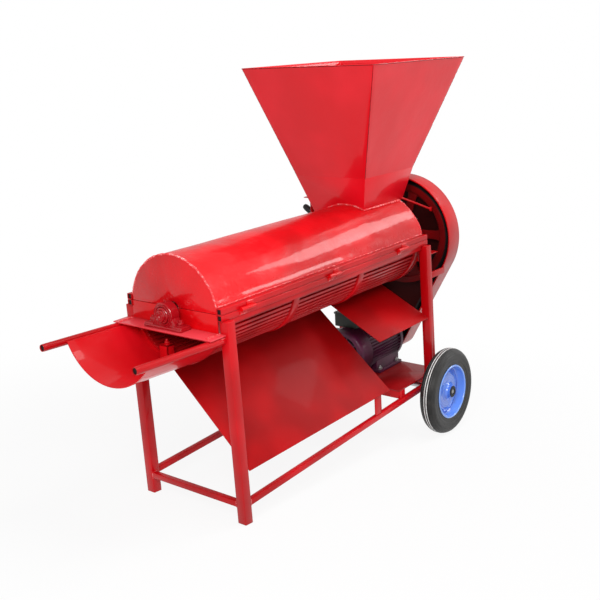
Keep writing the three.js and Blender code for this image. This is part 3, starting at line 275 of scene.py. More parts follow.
# dull paint or moulding with fine texture
def plain_coat(name, tone, shade, rough, texture, coat, dust):
    f = Finish(name)
    color = f.blend(f.patches(0.3, 0.7, 9.0), shade, tone)
    settled = f.step(f.facing_up(), 0.1, 0.9)
    film = f.patches(0.5, 0.8, 40.0, 5.0, 0.7) * (settled * 0.6 + 0.25) * dust
    color = f.blend(film, color, (0.3, 0.24, 0.2))
    normal = f.bump(f.grain(340.0, 3.0, 0.6), 0.0003 * texture, 0.6)
    shine = film * 0.3 + f.grain(60.0) * 0.1 + rough
    return f.close(color, shine, normal, coat=coat, specular=0.25)


# tyre rubber: two thin pale lines round the tread as painted reflection, and fine rings in the
# sidewall
def tyre_rubber(name, wheel_mid, ring_y, side):
    f = Finish(name)
    # painted reflection: two thin pale lines along the tread's shoulders, broken in places
    across = (f.part_of(f.place, 1) - ring_y) * side
    from_line = f.math("ABSOLUTE", f.math("ABSOLUTE", across) - 0.0054)
    line = 1 - f.step(from_line, 0.0018, 0.0027)
    radius = f.from_axle(wheel_mid)
    outer = f.step(radius, 0.181, 0.183)
    color = f.blend(f.patches(0.35, 0.7, 30.0, 4.0), (0.009, 0.009, 0.009), (0.02, 0.0195, 0.019))
    line_breaks = f.patches(0.35, 0.62, 90.0, 4.0, 0.7)
    color = f.blend(line * outer * (line_breaks * 0.3 + 0.7), color, (0.82, 0.83, 0.82))
    rings = f.math("SINE", radius * 1250.0)
    color = f.blend((rings * 0.5 + 0.5) * (1 - outer) * 0.5, color, (0.06, 0.058, 0.056))
    dust = f.patches(0.45, 0.8, 18.0, 6.0, 0.75) * 0.1
    color = f.blend(dust, color, (0.15, 0.13, 0.12))
    return f.close(color, dust * 0.2 + 0.42, f.bump(rings, 0.0005, 0.6), specular=0.3)


# blue enamel of the pressed rims, paler on the rolled lip as painted highlight, and paler rings in
# the dish: spinning marks in the bump, painted highlight in the colour
def rim_enamel(name, wheel_mid):
    f = Finish(name)
    radius = f.from_axle(wheel_mid)
    # painted highlight: the rolled lip is a paler blue
    lip = f.step(radius, 0.107, 0.1145)
    color = f.blend(f.patches(0.35, 0.7, 14.0), (0.03, 0.1, 0.56), (0.07, 0.2, 0.74))
    color = f.blend(lip, color, (0.16, 0.34, 0.88))
    spun_and_sheen_rings = f.math("SINE", radius * 620.0)
    color = f.blend((spun_and_sheen_rings * 0.5 + 0.5) * (1 - lip) * 0.4, color, (0.14, 0.32, 0.86))
    film = f.patches(0.52, 0.8, 26.0, 6.0, 0.7) * 0.2
    color = f.blend(film, color, (0.2, 0.22, 0.3))
    return f.close(color, film * 0.4 + 0.2, f.bump(spun_and_sheen_rings, 0.0004, 0.5), coat=0.9, coat_rough=0.08)


# each enamel's main tone, then its shade in the slow patches
sheet_red = red_enamel("cover sheet red", (0.74, 0.003, 0.008), (0.5, 0.001, 0.003),
                       dents=1.5, dust=0.08, rough=0.26)
hopper_red = red_enamel("hopper sheet red", (0.78, 0.006, 0.017), (0.68, 0.003, 0.01),
                        dents=0.4, dust=0.04, coat=0.36)
frame_red = red_enamel("frame tube red", (0.6, 0.003, 0.008), (0.4, 0.001, 0.003),
                       dents=0.1, coat=0.22)
# the chutes: a darker red as painted shade from the drum and legs above
chute_shade_red = red_enamel("chute sheet red painted shade", (0.46, 0.0, 0.002), (0.3, 0.0, 0.001),
                       dents=0.4, dust=0.08, rough=0.4, coat=0.04)
trough_red = red_enamel("trough sheet red", (0.72, 0.006, 0.014), (0.58, 0.002, 0.006),
                        dents=0.4, dust=0.1)
plate_red = red_enamel("end plate red", (0.7, 0.002, 0.005), (0.55, 0.001, 0.003),
                       dents=0.3, dust=0.1, coat=0.3)
# the front bearing plate: a paler pink red as painted reflection of the sky
bearing_plate_reflection_red = red_enamel("bearing plate red painted reflection", (0.8, 0.06, 0.08), (0.66, 0.03, 0.04),
                       dents=0.2, dust=0.2)
deck_red = red_enamel("motor deck red", (0.32, 0.002, 0.004), (0.2, 0.001, 0.002),
                      dents=0.2, dust=0.35, rough=0.34)
grate_red = red_enamel("grate red", (0.58, 0.005, 0.01), (0.36, 0.002, 0.004),
                       dust=0.3, coat=0.25)
cast_red = red_enamel("casting red", (0.4, 0.004, 0.01), (0.26, 0.002, 0.005),
                      cast=1.0, dust=0.35, rough=0.24, coat=0.6)
# welds: a paler pink tone as painted highlight
weld_glint_red = red_enamel("weld bead red painted glints", (0.84, 0.05, 0.06), (0.62, 0.01, 0.016),
                      peel=2.0, dust=0.05, rough=0.16, coat=1.0, painted_glints=0.75)
guard_red = red_enamel("guard sheet red", (0.62, 0.003, 0.006), (0.4, 0.001, 0.003),
                       dents=0.5, dust=0.1, coat=0.18)
# a dark red as painted shade: the pulley inside the guard, and the dark lines at the hopper's
# corners and rim
shade_dark_red = red_enamel("pulley and seam painted shade red", (0.2, 0.001, 0.002), (0.1, 0.0, 0.001),
                        cast=0.8, dust=0.1, rough=0.5, coat=0.02)
# near black: painted shade inside the belt guard, and the seal rings' own dark colour
shade_and_seal_dark = red_enamel("guard inside dark red", (0.04, 0.001, 0.001), (0.012, 0.0, 0.0),
                        dust=0.1, rough=0.6, coat=0.0)
shaft_steel = bare_steel("shaft steel")
bolt_steel = bare_steel("bolt steel", (0.36, 0.35, 0.34), 0.4, 0.3)
motor_coat = plain_coat("motor plum paint", (0.085, 0.008, 0.04), (0.03, 0.003, 0.014),
                        rough=0.38, texture=1.0, coat=0.12, dust=0.1)
box_coat = plain_coat("terminal box grey", (0.022, 0.026, 0.02), (0.012, 0.014, 0.011),
                      rough=0.42, texture=1.0, coat=0.05, dust=0.12)
belt_black = plain_coat("belt rubber", (0.015, 0.013, 0.013), (0.008, 0.007, 0.007),
                        rough=0.7, texture=2.0, coat=0.0, dust=0.25)
knob_black = plain_coat("knob black", (0.006, 0.006, 0.006), (0.003, 0.003, 0.003),
                        rough=0.4, texture=0.4, coat=0.05, dust=0.0)
# near black: painted shade for the insides of open tubes
bore_shade_black = plain_coat("tube bore", (0.012, 0.004, 0.004), (0.005, 0.002, 0.002),
                        rough=0.7, texture=1.0, coat=0.0, dust=0.2)


def rounded_off(bm, edges, radius, segments, clamp=False):
    bmesh.ops.bevel(bm, geom=edges, offset=radius, segments=segments, profile=0.5, affect="EDGES",
                    clamp_overlap=clamp)


# solids in millimetres, gathered into one finished piece
class Form:
    def __init__(self):
        self.bm = bmesh.new()

    def take(self, other, where):
        """Adds another bmesh, placed by a matrix, and frees it."""
        if where is not None:
            bmesh.ops.transform(other, matrix=where, verts=other.verts)
        held = bpy.data.meshes.new("held")
        other.to_mesh(held)
        other.free()
        self.bm.from_mesh(held)
        bpy.data.meshes.remove(held)
        return self

    def block(self, x0, x1, y0, y1, z0, z1, edge=0.0, segments=2, where=None):
        part = bmesh.new()
        bmesh.ops.create_cube(part, size=1.0)
        bmesh.ops.scale(part, vec=Vector((x1 - x0, y1 - y0, z1 - z0)), verts=part.verts)
        bmesh.ops.translate(part, vec=Vector((x0 + x1, y0 + y1, z0 + z1)) / 2, verts=part.verts)
        if edge:
            rounded_off(part, list(part.edges), edge, segments)
        return self.take(part, where)

    def prism(self, outline, h0, h1, where, edge=0.0, segments=2):
        """Outline in x and y, pulled from h0 to h1 along z."""
        part = bmesh.new()
        face = part.faces.new([part.verts.new((x, y, h0)) for x, y in outline])
        pulled = bmesh.ops.extrude_face_region(part, geom=[face])["geom"]
        moved = [g for g in pulled if isinstance(g, bmesh.types.BMVert)]
        bmesh.ops.translate(part, vec=(0, 0, h1 - h0), verts=moved)
        bmesh.ops.recalc_face_normals(part, faces=part.faces)
        if edge:
            rounded_off(part, [e for e in part.edges if e.calc_face_angle(0) > 0.6], edge, segments)
        return self.take(part, where)

    def lathe(self, profile, steps, where, closed=False):
        """Profile of radius and height turned about z; closed profiles make rings."""
        part = bmesh.new()
        turn = [2 * math.pi * i / steps for i in range(steps)]
        rings = []
        for radius, height in profile:
            if radius < 1e-6:
                rings.append([part.verts.new((0, 0, height))])
            else:
                rings.append([part.verts.new((radius * math.cos(a), radius * math.sin(a), height))
                              for a in turn])
        for a, b in zip(rings, rings[1:] + rings[:1] if closed else rings[1:]):
            for i in range(steps):
                n = (i + 1) % steps
                corners = [a[i % len(a)], a[n % len(a)], b[n % len(b)], b[i % len(b)]]
                corners = list(dict.fromkeys(corners))
                if len(corners) > 2:
                    part.faces.new(corners)
        bmesh.ops.recalc_face_normals(part, faces=part.faces)
        return self.take(part, where)

    def sweep(self, rings, where=None, loop=False):
        """Skin over rings of points, open with caps or closed into a loop."""
        part = bmesh.new()
        made = [[part.verts.new(p) for p in ring] for ring in rings]
        count = len(made[0])
        for a, b in zip(made, made[1:] + made[:1] if loop else made[1:]):
            for i in range(count):
                n = (i + 1) % count
                part.faces.new((a[i], a[n], b[n], b[i]))
        if not loop:
            part.faces.new(made[0])
            part.faces.new(made[-1])
        bmesh.ops.recalc_face_normals(part, faces=part.faces)
        return self.take(part, where)

    def wire(self, points, radius, sides):
        """Round rod along points."""
        path = [Vector(p) for p in points]
        turn = [2 * math.pi * i / sides for i in range(sides)]
        side = (path[1] - path[0]).orthogonal()
        rings = []
        for before, p, after in zip(path[:1] + path, path, path[1:] + path[-1:]):
            way = (after - before).normalized()
            side = (side - way * side.dot(way)).normalized()
            other = way.cross(side)
            rings.append([p + (side * math.cos(a) + other * math.sin(a)) * radius for a in turn])
        return self.sweep(rings)

    def ring_prism(self, outer, inner, h0, h1, where):
        """Tube wall between two outlines with the same number of points."""
        rings = [[(ox, oy, h0), (ox, oy, h1), (ix, iy, h1), (ix, iy, h0)]
                 for (ox, oy), (ix, iy) in zip(outer, inner)]
        return self.sweep(rings, where, loop=True)

    def piece(self, name, material, body, where=DRUM, stands_for=(), slot=None, smooth=32.0):
        bmesh.ops.transform(self.bm, matrix=where, verts=self.bm.verts)
        finished(name, self.mesh(name), material, body, stands_for, smooth)

    def mesh(self, name):
        """The form as a plain mesh; the form itself is used up."""
        mesh = bpy.data.meshes.new(name)
        self.bm.to_mesh(mesh)
        self.bm.free()
        return mesh


def finished(name, mesh, material, body, stands_for=(), smooth=32.0):
    mesh.materials.clear()
    mesh.materials.append(material)
    mesh.shade_smooth()
    mesh.set_sharp_from_angle(angle=math.radians(smooth))
    made = bpy.data.objects.new(name, mesh)
    scene.collection.objects.link(made)
    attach(made, body)
    if stands_for:
        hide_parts(*stands_for)


def softened(node, name, material, body, edge, segments=2):
    """The solid with welded faces and rounded edges."""
    form = Form()
    form.bm.from_mesh(nodes[node].data)
    bmesh.ops.remove_doubles(form.bm, verts=form.bm.verts, dist=3e-6)
    bmesh.ops.dissolve_limit(form.bm, angle_limit=math.radians(0.4), verts=form.bm.verts,
                             edges=form.bm.edges)
    if edge:
        sharp = [e for e in form.bm.edges
                 if len(e.link_faces) == 2 and e.calc_face_angle(0) > math.radians(40.0)]
        rounded_off(form.bm, sharp, edge * TO_METRES, segments, clamp=True)
    finished(name, form.mesh(name), material, body, (node,))


def arc(radius, start, end, steps, mid=(0.0, 0.0)):
    return [(mid[0] + radius * math.cos(a), mid[1] + radius * math.sin(a))
            for a in spaced(start, end, steps)]


def corner_bend(cx, cy, radius, start, steps):
    return arc(radius, math.radians(start), math.radians(start + 90), steps, (cx, cy))


def rounded_square(y0, y1, z0, z1, radius):
    points = []
    for y, z, start in ((y1 - radius, z0 + radius, -90), (y1 - radius, z1 - radius, 0),
                        (y0 + radius, z1 - radius, 90), (y0 + radius, z0 + radius, 180)):
        points += corner_bend(y, z, radius, start, 3)
    return points


def square_tube(form, y0, y1, z0, z1):
    """A tube as long as the drum with its overhang at both ends."""
    wall, radius = 2.0, 2.5
    outer = rounded_square(y0, y1, z0, z1, radius)
    inner = rounded_square(y0 + wall, y1 - wall, z0 + wall, z1 - wall, radius - 1.5)
    return form.ring_prism(outer, inner, -OVERHANG, LENGTH + OVERHANG, X_FROM_Z)


# repeats and weld beads are made by Geometry Nodes and turned into plain meshes
class Recipe:
    """A node group with named inputs that ends in realized instances and a material."""

    def __init__(self, name, **inputs):
        self.tree = bpy.data.node_groups.new(name, "GeometryNodeTree")
        kinds = {"Geometry": "Geometry", **inputs, "Material": "Material"}
        for label, kind in kinds.items():
            self.tree.interface.new_socket(label.replace("_", " "), in_out="INPUT",
                                           socket_type="NodeSocket" + kind)
        self.tree.interface.new_socket("Geometry", in_out="OUTPUT",
                                       socket_type="NodeSocketGeometry")
        self.given = self.tree.nodes.new("NodeGroupInput")
        self.result = self.tree.nodes.new("NodeGroupOutput")

    def add(self, kind, settings=None, *values, **named):
        """A node; a text value names one of the recipe's own inputs."""
        made = self.tree.nodes.new(kind)
        for key, value in (settings or {}).items():
            setattr(made, key, value)
        for key, value in [*enumerate(values), *named.items()]:
            socket = made.inputs[key if isinstance(key, int) else key.replace("_", " ")]
            if isinstance(value, str):
                value = self.given.outputs[value]
            if isinstance(value, bpy.types.Node):
                value = value.outputs[0]
            if isinstance(value, bpy.types.NodeSocket):
                self.tree.links.new(value, socket)
            else:
                socket.default_value = value
        return made

    def math(self, kind, *values):
        return self.add("ShaderNodeMath", {"operation": kind}, *values)

    def vector(self, kind, *values, **named):
        return self.add("ShaderNodeVectorMath", {"operation": kind}, *values, **named)

    def close(self, geometry):
        real = self.add("GeometryNodeRealizeInstances", Geometry=geometry)
        painted = self.add("GeometryNodeSetMaterial", Geometry=real, Material="Material")
        self.tree.links.new(painted.outputs[0], self.result.inputs[0])
        return self

    def apply(self, source, **values):
        """Runs the recipe on a mesh and gives back the made mesh."""
        holder = bpy.data.objects.new("holder", source)
        scene.collection.objects.link(holder)
        modifier = holder.modifiers.new("recipe", "NODES")
        modifier.node_group = self.tree
        for socket in self.tree.interface.items_tree:
            key = socket.name.replace(" ", "_").lower()
            if socket.in_out == "INPUT" and key in values:
                modifier[socket.identifier] = values[key]
        graph = bpy.context.evaluated_depsgraph_get()
        mesh = bpy.data.meshes.new_from_object(holder.evaluated_get(graph), depsgraph=graph)
        holder.modifiers.clear()
        bpy.data.objects.remove(holder)
        bpy.data.meshes.remove(source)
        return mesh


def repeat_recipe():
    """Copies of a piece, each turned about x, y, z and shifted one more step than the last."""
    r = Recipe("repeat", Count="Int", Turn="Vector", First_Turn="Vector", Shift="Vector")
    points = r.add("GeometryNodePoints", Count="Count")
    copies = r.add("GeometryNodeInstanceOnPoints", Points=points, Instance="Geometry")
    index = r.add("GeometryNodeInputIndex")
    turn = r.vector("ADD", r.vector("SCALE", Vector="Turn", Scale=index), "First Turn")
    turned = r.add("GeometryNodeRotateInstances", Instances=copies, Rotation=turn,
                   Local_Space=False)
    shift = r.vector("SCALE", Vector="Shift", Scale=index)
    shifted = r.add("GeometryNodeTranslateInstances", Instances=turned, Translation=shift,
                    Local_Space=False)
    return r.close(shifted)


def weld_recipe():
    """A bead along a line: overlapping ripples and an uneven width."""
    r = Recipe("weld bead", Radius="Float", Spacing="Float", Ripple="Float", Seed="Float")
    curve = r.add("GeometryNodeMeshToCurve", Mesh="Geometry")
    even = r.add("GeometryNodeResampleCurve", {"mode": "LENGTH"}, Curve=curve,
                 Length=r.math("MULTIPLY", "Spacing", 0.25))
    along = r.add("GeometryNodeSplineParameter")
    saw = r.math("FRACT", r.math("DIVIDE", along.outputs["Length"], "Spacing"))
    lumps = r.add("ShaderNodeTexNoise", {"noise_dimensions": "4D"}, W="Seed", Scale=60.0,
                  Detail=2.0, Vector=r.add("GeometryNodeInputPosition"))
    uneven = r.add("ShaderNodeMapRange", None, lumps, 0.25, 0.75, 0.55, 1.2)
    factor = r.math("SUBTRACT", uneven, r.math("MULTIPLY", saw, "Ripple"))
    wander = r.vector("SUBTRACT", lumps.outputs["Color"], (0.5, 0.5, 0.5))
    moved = r.add("GeometryNodeSetPosition", Geometry=even,
                  Offset=r.vector("SCALE", Vector=wander, Scale="Radius"))
    circle = r.add("GeometryNodeCurvePrimitiveCircle", Resolution=8, Radius=1.0)
    bead = r.add("GeometryNodeCurveToMesh", Curve=moved, Profile_Curve=circle, Fill_Caps=True,
                 Scale=r.math("MULTIPLY", factor, "Radius"))
    return r.close(bead)


REPEAT = repeat_recipe()
WELD = weld_recipe()


def repeated(form, name, material, body, count, turn=0.0, first=0.0, shift=(0, 0, 0), where=DRUM,
             stands_for=()):
    """Copies of a form, turned in steps about x or shifted in steps."""
    mesh = REPEAT.apply(form.mesh(name), count=count, turn=(turn, 0, 0), first_turn=(first, 0, 0),
                        shift=shift, material=material)
    mesh.transform(where)
    finished(name, mesh, material, body, stands_for)


def weld(name, lines, body, radius, spacing, ripple, seed, where=DRUM,
         material=weld_glint_red):
    """One piece of bead along one or more polylines given in millimetres."""
    source = bpy.data.meshes.new(name)
    verts, edges = [], []
    for line in lines:
        start = len(verts)
        verts += [where @ Vector(p) for p in line]
        edges += [(start + i, start + i + 1) for i in range(len(line) - 1)]
    source.from_pydata(verts, edges, [])
    mesh = WELD.apply(source, radius=radius * TO_METRES, spacing=spacing * TO_METRES,
                      ripple=ripple, seed=seed, material=material)
    finished(name, mesh, material, body, smooth=60.0)


def hex_bolt(form, place, axis, radius, head, tail, washer=0.0):
    """Washer, hexagon head with a chamfered crown, and thread end, standing on a face."""
    way = Vector(axis).normalized()
    where = Matrix.Translation(Vector(place)) @ way.to_track_quat("Z", "Y").to_matrix().to_4x4()
    if washer:
        form.lathe([(radius * 0.6, 0.0), (radius * 1.28, 0.0), (radius * 1.28, washer * 0.8),
                    (radius * 1.2, washer), (radius * 0.6, washer)], 32, where, closed=True)
    form.prism(arc(radius, 0.0, math.radians(300), 5), washer, washer + head, where,
               edge=radius * 0.07)
    crown = washer + head
    form.lathe([(0.0, crown + 0.01), (radius * 0.8, crown + 0.01),
                (radius * 0.74, crown + head * 0.1), (0.0, crown + head * 0.1)], 24, where)
    if tail:
        form.lathe([(0.0, crown), (radius * 0.56, crown), (radius * 0.56, crown + tail * 0.8),
                    (radius * 0.46, crown + tail), (0.0, crown + tail)], 20, where)
    return form


# sheet parts, tubes and plates that keep the solid's shape: finish, body, edge radius, nodes
SOFTENED = (
    (frame_red, "frame", 2.4, ("leg_front_near", "leg_front_far", "leg_rear_near",
                               "leg_rear_far")),
    (frame_red, "frame", 1.8, ("lower_rail_near", "lower_rail_far", "lower_cross_front",
                               "lower_cross_rear")),
    (frame_red, "frame", 2.0, ("base_bar_front", "base_bar_rear")),
    (deck_red, "frame", 1.0, ("motor_plate",)),
    (bearing_plate_reflection_red, "frame", 1.2, ("bearing_plate_front",)),
    (frame_red, "frame", 1.2, ("bearing_plate_rear",)),
    (plate_red, "frame", 0.8, ("end_plate_front",)),
    (sheet_red, "frame", 0.8, ("end_plate_rear",)),
    (chute_shade_red, "frame", 0.9, ("side_chute", "back_chute")),
    (frame_red, "frame", 1.0, ("chute_hanger_front", "chute_hanger_rear", "chute_support")),
    (sheet_red, "cover", 0.8, ("cover_end_front", "cover_end_rear")),
    (hopper_red, "cover", 0.15, ("hopper_throat",)),
    (frame_red, "cover", 0.6, ("latch_rod",)),
    (sheet_red, "gate", 0.7, ("gate_slide",)),
    (knob_black, "gate", 0.0, ("gate_knob",)),
    (motor_coat, "frame", 1.6, ("motor_feet",)),
    (cast_red, "rotor", 1.0, ("beater_rotor_front", "beater_rotor_middle", "beater_rotor_rear")),
)


def make_softened():
    for finish, body, edge, names in SOFTENED:
        for node in names:
            softened(node, node + "_dressed", finish, body, edge)


# the half-round cover: sheet with slight dents, hollow edge tubes and the hinges' two halves
def dented(x, turn, depth, size, seed):
    place = Vector((x, 200 * turn, 0)) / size + Vector((seed, seed * 2, 0))
    return depth * (0.5 + 0.5 * noise.noise(place))


def make_cover():
    edge = math.asin((TUBE_LOW + GAP + COVER_DROP) / COVER_RADIUS)
    hole_x = THROAT["x"][0][0] - 3.0
    hole_y = [THROAT["mid"][0] + s * (THROAT["half"][0] - 2.5) for s in (-1, 1)]
    hole_turns = sorted(math.acos(y / COVER_RADIUS) for y in hole_y)
    turns = sorted(spaced(edge, math.pi - edge, 110) + hole_turns)
    stations = sorted(spaced(0.0, LENGTH, 120) + [hole_x])
    form = Form()
    grid = []
    for x in stations:
        ease = min(x, LENGTH - x, 60.0) / 60.0
        row = []
        for t in turns:
            r = COVER_RADIUS - ease * (dented(x, t, 1.6, 150.0, 3.0) + dented(x, t, 0.5, 45.0, 8.0))
            row.append(form.bm.verts.new((x, r * math.cos(t), r * math.sin(t) - COVER_DROP)))
        grid.append(row)
    for i in range(len(stations) - 1):
        for k in range(len(turns) - 1):
            mid_x = (stations[i] + stations[i + 1]) / 2
            mid_t = (turns[k] + turns[k + 1]) / 2
            if mid_x > hole_x and hole_turns[0] < mid_t < hole_turns[1]:
                continue
            form.bm.faces.new((grid[i][k], grid[i][k + 1], grid[i + 1][k + 1], grid[i + 1][k]))
    bmesh.ops.recalc_face_normals(form.bm, faces=form.bm.faces)
    if max(form.bm.faces, key=lambda f: f.calc_center_median().z).normal.z < 0:
        bmesh.ops.reverse_faces(form.bm, faces=form.bm.faces)
    bmesh.ops.solidify(form.bm, geom=list(form.bm.faces), thickness=SHEET - 0.6)
    loose = [v for v in form.bm.verts if not v.link_faces]
    bmesh.ops.delete(form.bm, geom=loose, context="VERTS")
    bmesh.ops.recalc_face_normals(form.bm, faces=form.bm.faces)
    form.piece("cover_sheet", sheet_red, "cover", stands_for=("drum_cover",))
    tubes = Form()
    for y0, y1 in both_sides(RAIL_IN, RAIL_OUT):
        square_tube(tubes, y0, y1, TUBE_LOW, TUBE_HIGH)
    tubes.piece("cover_edge_tubes", frame_red, "cover", slot="frame_red")


def barrel(form, x0, x1, bore=0.0):
    radius, length = 8.0, x1 - x0
    round_end = [(radius - 1.0, 0.0), (radius, 1.0), (radius, length - 1.0), (radius - 1.0, length)]
    form.lathe([(bore, 0.0), *round_end, (bore, length)], 32, along_x(x0, HINGE_Y, HINGE_Z),
               closed=bore > 0)


def make_hinges():
    half, gap, leaf_out, leaf_in = 36.0, 1.0, -RAIL_OUT - 3.0, -RAIL_OUT + 0.4
    upper, lower = Form(), Form()
    for x in HINGE_X:
        x1, x2, x3 = x + half, x + half + gap, x + 2 * half + gap
        barrel(lower, x, x1)
        lower.wire([(x + half / 2, HINGE_Y, HINGE_Z), (x3, HINGE_Y, HINGE_Z)], 4.0, 16)
        lower.block(x, x1, leaf_out, leaf_in, HINGE_Z - 18.0, HINGE_Z - 1.0, 0.7)
        barrel(upper, x2, x3, bore=4.3)
        upper.block(x2, x3, leaf_out, leaf_in, HINGE_Z + 1.0, HINGE_Z + 18.0, 0.7)
    upper.piece("hinge_barrels_upper", plate_red, "cover", slot="frame_red")
    lower.piece("hinge_barrels_lower", plate_red, "frame", slot="frame_red")
    # points along a leaf's edge: along x, out from the tube, up from the pin
    upper_bead = ((38.0, 1.5, 18.5), (55.0, 1.0, 19.0), (72.0, 1.5, 18.5))
    lower_bead = ((1.0, 1.0, -17.5), (18.0, 1.0, -18.0), (35.0, 1.0, -17.5))
    for end, body, bead, seed in (("upper", "cover", upper_bead, 4.0),
                                  ("lower", "frame", lower_bead, 5.0)):
        lines = [[(x + along, -RAIL_OUT - away, HINGE_Z + up) for along, away, up in bead]
                 for x in HINGE_X]
        weld("hinge_welds_" + end, lines, body, 3.0, 3.2, 0.22, seed)


def make_top_rails():
    for side, (y0, y1) in zip(("near", "far"), both_sides(RAIL_IN, RAIL_OUT)):
        square_tube(Form(), y0, y1, RAIL_LOW, RAIL_HIGH).piece(
            "top_rail_" + side + "_tube", frame_red, "frame", stands_for=("top_rail_" + side,))


# painted shade: near-black plugs a little way into the open tube ends, where shade falls inside the
# tubes
def make_tube_shade_plugs():
    wall, depth, plug = 1.9, 3.5, 3.0
    for body, low, high in (("frame", RAIL_LOW, RAIL_HIGH), ("cover", TUBE_LOW, TUBE_HIGH)):
        form = Form()
        for x0 in (depth - OVERHANG, LENGTH + OVERHANG - depth - plug):
            for y0, y1 in both_sides(RAIL_IN + wall, RAIL_OUT - wall):
                form.block(x0, x0 + plug, y0, y1, low + wall, high - wall, 0.6)
        form.piece("tube_bores_" + body, bore_shade_black, body, slot="frame_red")


# hopper: sheet walls with a soft bow, bent corners and a folded rim
def rounded_rectangle(x0, x1, y0, y1, radius):
    side = 22
    bends = [corner_bend(x, y, radius, start, 4)
             for x, y, start in ((x1 - radius, y0 + radius, -90), (x1 - radius, y1 - radius, 0),
                                 (x0 + radius, y1 - radius, 90), (x0 + radius, y0 + radius, 180))]
    points = []
    for bend, after in zip(bends, bends[1:] + bends[:1]):
        points += bend
        points += [tuple(between(p, q, i / side) for p, q in zip(bend[-1], after[0]))
                   for i in range(1, side)]
    return points


def hopper_level(share, inset):
    """Ends in x, middle line and half width of the hopper at a share of its height."""
    x0, x1 = (between(THROAT["x"][1][k], MOUTH["x"][k], share) for k in (0, 1))
    half = between(THROAT["half"][1], MOUTH["half"], share)
    mid = between(THROAT["mid"][1], MOUTH["mid"], share)
    return x0 + inset, x1 - inset, mid, half - inset


def make_hopper():
    low, top = THROAT["z"][1] + 0.02, MOUTH["z"]
    height = top - low
    steps, wall, corner = 44, 2.6, 3.2

    def ring(z, inset=0.0, bow=0.0):
        share = (z - low) / height
        x0, x1, mid, half = hopper_level(share, inset)
        out = []
        for x, y in rounded_rectangle(x0, x1, mid - half, mid + half, corner):
            across_x = min(x - x0, x1 - x) / (x1 - x0)
            across_y = min(y - mid + half, mid + half - y) / (2 * half)
            flat = min(1.0, 12 * max(across_x, across_y)) * min(1.0, 6 * share, 14 * (1 - share))
            uneven = noise.noise(Vector((x, y, z)) / 190 + Vector((2, 7, 1)))
            sag = max(bow * flat * (1.4 + 1.6 * uneven), 0)
            if across_x > across_y:
                y -= math.copysign(sag, y - mid)
            else:
                x -= math.copysign(sag, x - (x0 + x1) / 2)
            out.append((x, y, z))
        return out

    levels = spaced(low, top, steps)
    rings = [ring(z, bow=1.0) for z in levels[:-1]]
    rings += [ring(top - 1.0), ring(top, 0.9), ring(top, 3.0), ring(top - 1.2, 4.2),
              ring(top - 16.0, 4.2), ring(top - 17.0, 2.6)]
    rings += [ring(z, wall, 1.0) for z in reversed(levels[:-2])]
    Form().sweep(rings, loop=True).piece("hopper_walls", hopper_red, "cover",
                                         stands_for=("hopper",), smooth=40.0)
    # painted shade: thin dark beads down the hopper's corners and round its rim
    corner_lines = []
    for end, side in ((0, -1), (0, 1), (1, -1), (1, 1)):
        line = []
        for share in spaced(0.0, 0.985, 23):
            x0, x1, mid, half = hopper_level(share, 1.4)
            half += 0.4 * (1 - share)
            line.append(((x0, x1)[end], mid + side * half, low + height * share))
        corner_lines.append(line)
    weld("hopper_corner_welds", corner_lines, "cover", 1.5, 3.0, 0.22, 12.0,
         material=shade_dark_red)
    far_edge = MOUTH["mid"] + MOUTH["half"] - 1.6
    mouth = rounded_rectangle(*MOUTH["x"], MOUTH["mid"] - MOUTH["half"],
                              MOUTH["mid"] + MOUTH["half"], corner)
    rim = [(x, min(y, far_edge), top - 2.6) for x, y in mouth]
    weld("hopper_rim_line", [rim + rim[:1]], "cover", 1.3, 3.0, 0.1, 14.0,
         material=shade_dark_red)


make_softened()
make_cover()
make_hinges()
make_top_rails()
make_tube_shade_plugs()
make_hopper()


# the weld round the foot of the throat, and the beads along the cover
def cover_height(y):
    """Height just above the cover's sheet."""
    return math.sqrt((COVER_RADIUS + 1.0) ** 2 - y * y) - COVER_DROP


def throat_edge(z, side):
    """Front wall and side wall of the throat at a height, on its outer faces."""
    share = (z - THROAT["z"][0]) / (THROAT["z"][1] - THROAT["z"][0])
    front = between(THROAT["x"][0][0], THROAT["x"][1][0], share)
    return front, between(*THROAT["mid"], share) + side * between(*THROAT["half"], share)


def throat_foot(side):
    """Where a side wall of the throat meets the cover, with the front wall's place there."""
    y = throat_edge(THROAT["z"][0], side)[1]
    for _ in range(12):
        y = (y + throat_edge(cover_height(y), side)[1]) / 2
    return throat_edge(cover_height(y), side)[0], y, cover_height(y)


def make_beads():
    lift, clear, rear = 0.4, 0.6, LENGTH + 2.0
    x_near, y_near, z_near = throat_foot(-1)
    x_far, y_far, z_far = throat_foot(1)
    saddle = [(x, y_near - clear, z_near + lift) for x in spaced(rear, x_near, 24)]
    for y in spaced(y_near, y_far, 40)[1:-1]:
        z = cover_height(y)
        saddle.append((throat_edge(z, 1)[0] - clear, y, z + lift))
    saddle += [(x, y_far + clear, z_far + lift) for x in spaced(x_far, rear, 24)]
    weld("throat_saddle_weld", [saddle], "cover", 5.6, 6.0, 0.45, 2.0)
    edge = math.asin((TUBE_HIGH + COVER_DROP) / COVER_RADIUS)
    bow = arc(COVER_RADIUS - 1.6, edge, math.pi - edge, 60, (0.0, -COVER_DROP))
    bows = [[(x, y, z) for y, z in bow] for x in (-clear, LENGTH + clear)]
    weld("cover_arc_welds", bows, "cover", 5.4, 5.6, 0.45, 3.0)
    y = COVER_RADIUS * math.cos(edge) + 1.0
    z = COVER_RADIUS * math.sin(edge) - COVER_DROP + 1.0
    long_lines = [[(x, s * y, z) for x in spaced(0.0, LENGTH, 40)] for s in (-1, 1)]
    weld("cover_edge_welds", long_lines, "cover", 3.4, 6.0, 0.45, 6.0)
    arch = [(-1.8, y, z) for y, z in arc(27.0, 0.0, math.pi, 20, (0.0, 12.0))]
    weld("arch_edge_bead", [arch], "cover", 1.0, 2.4, 0.1, 7.0)


make_beads()


